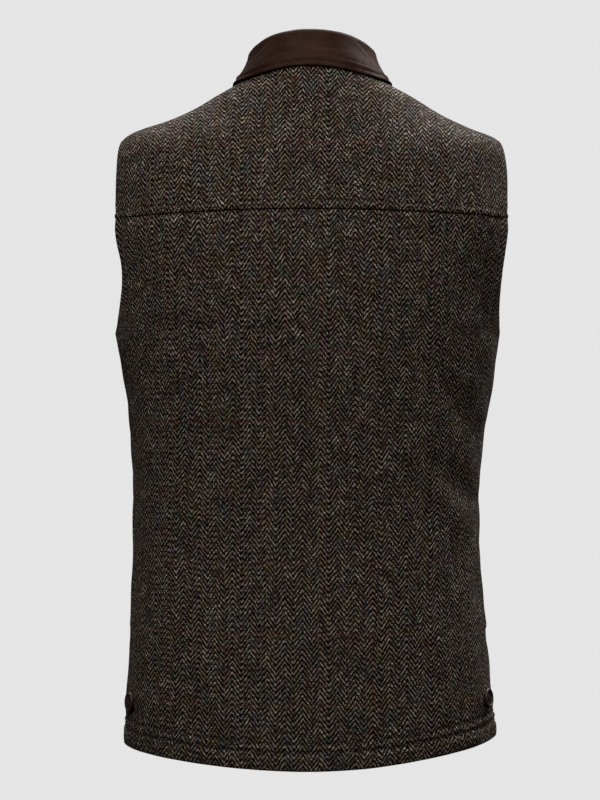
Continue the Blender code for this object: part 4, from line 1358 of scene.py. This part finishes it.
def make_stage():
    look, scene = bpy.context.scene.gilet_stage, bpy.context.scene
    made = link("floor", backdrop_mesh(-look.floor_drop))
    made.visible_diffuse = made.visible_glossy = made.visible_shadow = False  # no light on the cloth

    scene.view_settings.view_transform = "Standard"
    scene.world = bpy.data.worlds.new("studio")
    scene.world.use_nodes = True
    sky = scene.world.node_tree.nodes["Background"].inputs
    sky["Color"].default_value, sky["Strength"].default_value = (0.80, 0.80, 0.80, 1), 0.05
    for light in LIGHTS:
        lamp = bpy.data.lights.new(light.name, "AREA")
        lamp.size, lamp.energy, lamp.color = LIGHT_WIDTH, light.watts, light.tint
        made = link(light.name, lamp)
        made.location = light.place
        made.rotation_euler = (Vector(light.aim) - Vector(light.place)).to_track_quat("-Z", "Y").to_euler()

    lens = bpy.data.cameras.new("camera")
    lens.lens, lens.sensor_width, lens.sensor_height, lens.sensor_fit = look.lens, 36, 36, "AUTO"
    lens.clip_start, lens.clip_end = 0.05, 50
    lens.dof.use_dof = False
    scene.camera = link("camera", lens)
    scene.camera.location = (look.camera_left, look.camera_distance, -look.camera_drop)
    scene.camera.rotation_euler = (math.pi / 2, 0, math.pi)


# ---------------------------------------------------------------- operators
class GILET_OT_stage(bpy.types.Operator):
    """Lays the pale floor and sets the lights and the camera"""

    bl_idname = "gilet.stage"
    bl_label = "Stage"

    def execute(self, context):
        make_stage()
        return {"FINISHED"}


class GILET_OT_back(bpy.types.Operator):
    """Makes the back from the hem to the yoke seam, with its two rows of hem stitches"""

    bl_idname = "gilet.back"
    bl_label = "Back"

    def execute(self, context):
        make_back()
        return {"FINISHED"}


class GILET_OT_yoke(bpy.types.Operator):
    """Makes the back yoke, lapped on the back, with its row of stitches"""

    bl_idname = "gilet.yoke"
    bl_label = "Yoke"

    def execute(self, context):
        make_yoke()
        return {"FINISHED"}


class GILET_OT_fronts(bpy.types.Operator):
    """Makes both fronts, the left lapped over the right"""

    bl_idname = "gilet.fronts"
    bl_label = "Fronts"

    def execute(self, context):
        for side in (1, -1):
            make_front(side)
        return {"FINISHED"}


class GILET_OT_underlaps(bpy.types.Operator):
    """Makes the strips under the back's edges where the side vents open"""

    bl_idname = "gilet.underlaps"
    bl_label = "Vent underlaps"

    def execute(self, context):
        for side in (1, -1):
            make_underlap(side)
        return {"FINISHED"}


class GILET_OT_collar(bpy.types.Operator):
    """Makes the turned-down leather collar with its row of stitches"""

    bl_idname = "gilet.collar"
    bl_label = "Collar"

    def execute(self, context):
        make_collar()
        return {"FINISHED"}


class GILET_OT_buttons(bpy.types.Operator):
    """Makes the front and vent buttons with their threads"""

    bl_idname = "gilet.buttons"
    bl_label = "Buttons"

    def execute(self, context):
        make_buttons()
        return {"FINISHED"}


class GILET_OT_buttonholes(bpy.types.Operator):
    """Makes the worked buttonholes of the front and the vents"""

    bl_idname = "gilet.buttonholes"
    bl_label = "Buttonholes"

    def execute(self, context):
        make_buttonholes()
        return {"FINISHED"}


OPERATORS = (
    GILET_OT_stage,
    GILET_OT_back,
    GILET_OT_yoke,
    GILET_OT_fronts,
    GILET_OT_underlaps,
    GILET_OT_collar,
    GILET_OT_buttons,
    GILET_OT_buttonholes,
)
GROUPS = {
    "gilet_cloth": GiletCloth,
    "gilet_tweed": GiletTweed,
    "gilet_trim": GiletTrim,
    "gilet_stage": GiletStage,
}


class GILET_PT_panel(bpy.types.Panel):
    """Lists the gilet's pieces"""

    bl_idname = "GILET_PT_panel"
    bl_label = "Tweed gilet"
    bl_space_type = "VIEW_3D"
    bl_region_type = "UI"
    bl_category = "Gilet"

    def draw(self, context):
        for kind in OPERATORS:
            self.layout.operator(kind.bl_idname)
        for name, group in GROUPS.items():
            box = self.layout.box()
            for prop in group.__annotations__:
                box.prop(getattr(context.scene, name), prop)


def register():
    for kind in (*GROUPS.values(), *OPERATORS, GILET_PT_panel):
        bpy.utils.register_class(kind)
    for name, group in GROUPS.items():
        setattr(bpy.types.Scene, name, PointerProperty(type=group))


def unregister():
    for name in GROUPS:
        delattr(bpy.types.Scene, name)
    for kind in reversed((*GROUPS.values(), *OPERATORS, GILET_PT_panel)):
        bpy.utils.unregister_class(kind)


def main():
    register()
    for kind in OPERATORS:
        group, name = kind.bl_idname.split(".")
        getattr(getattr(bpy.ops, group), name)()


if __name__ == "__main__":
    main()
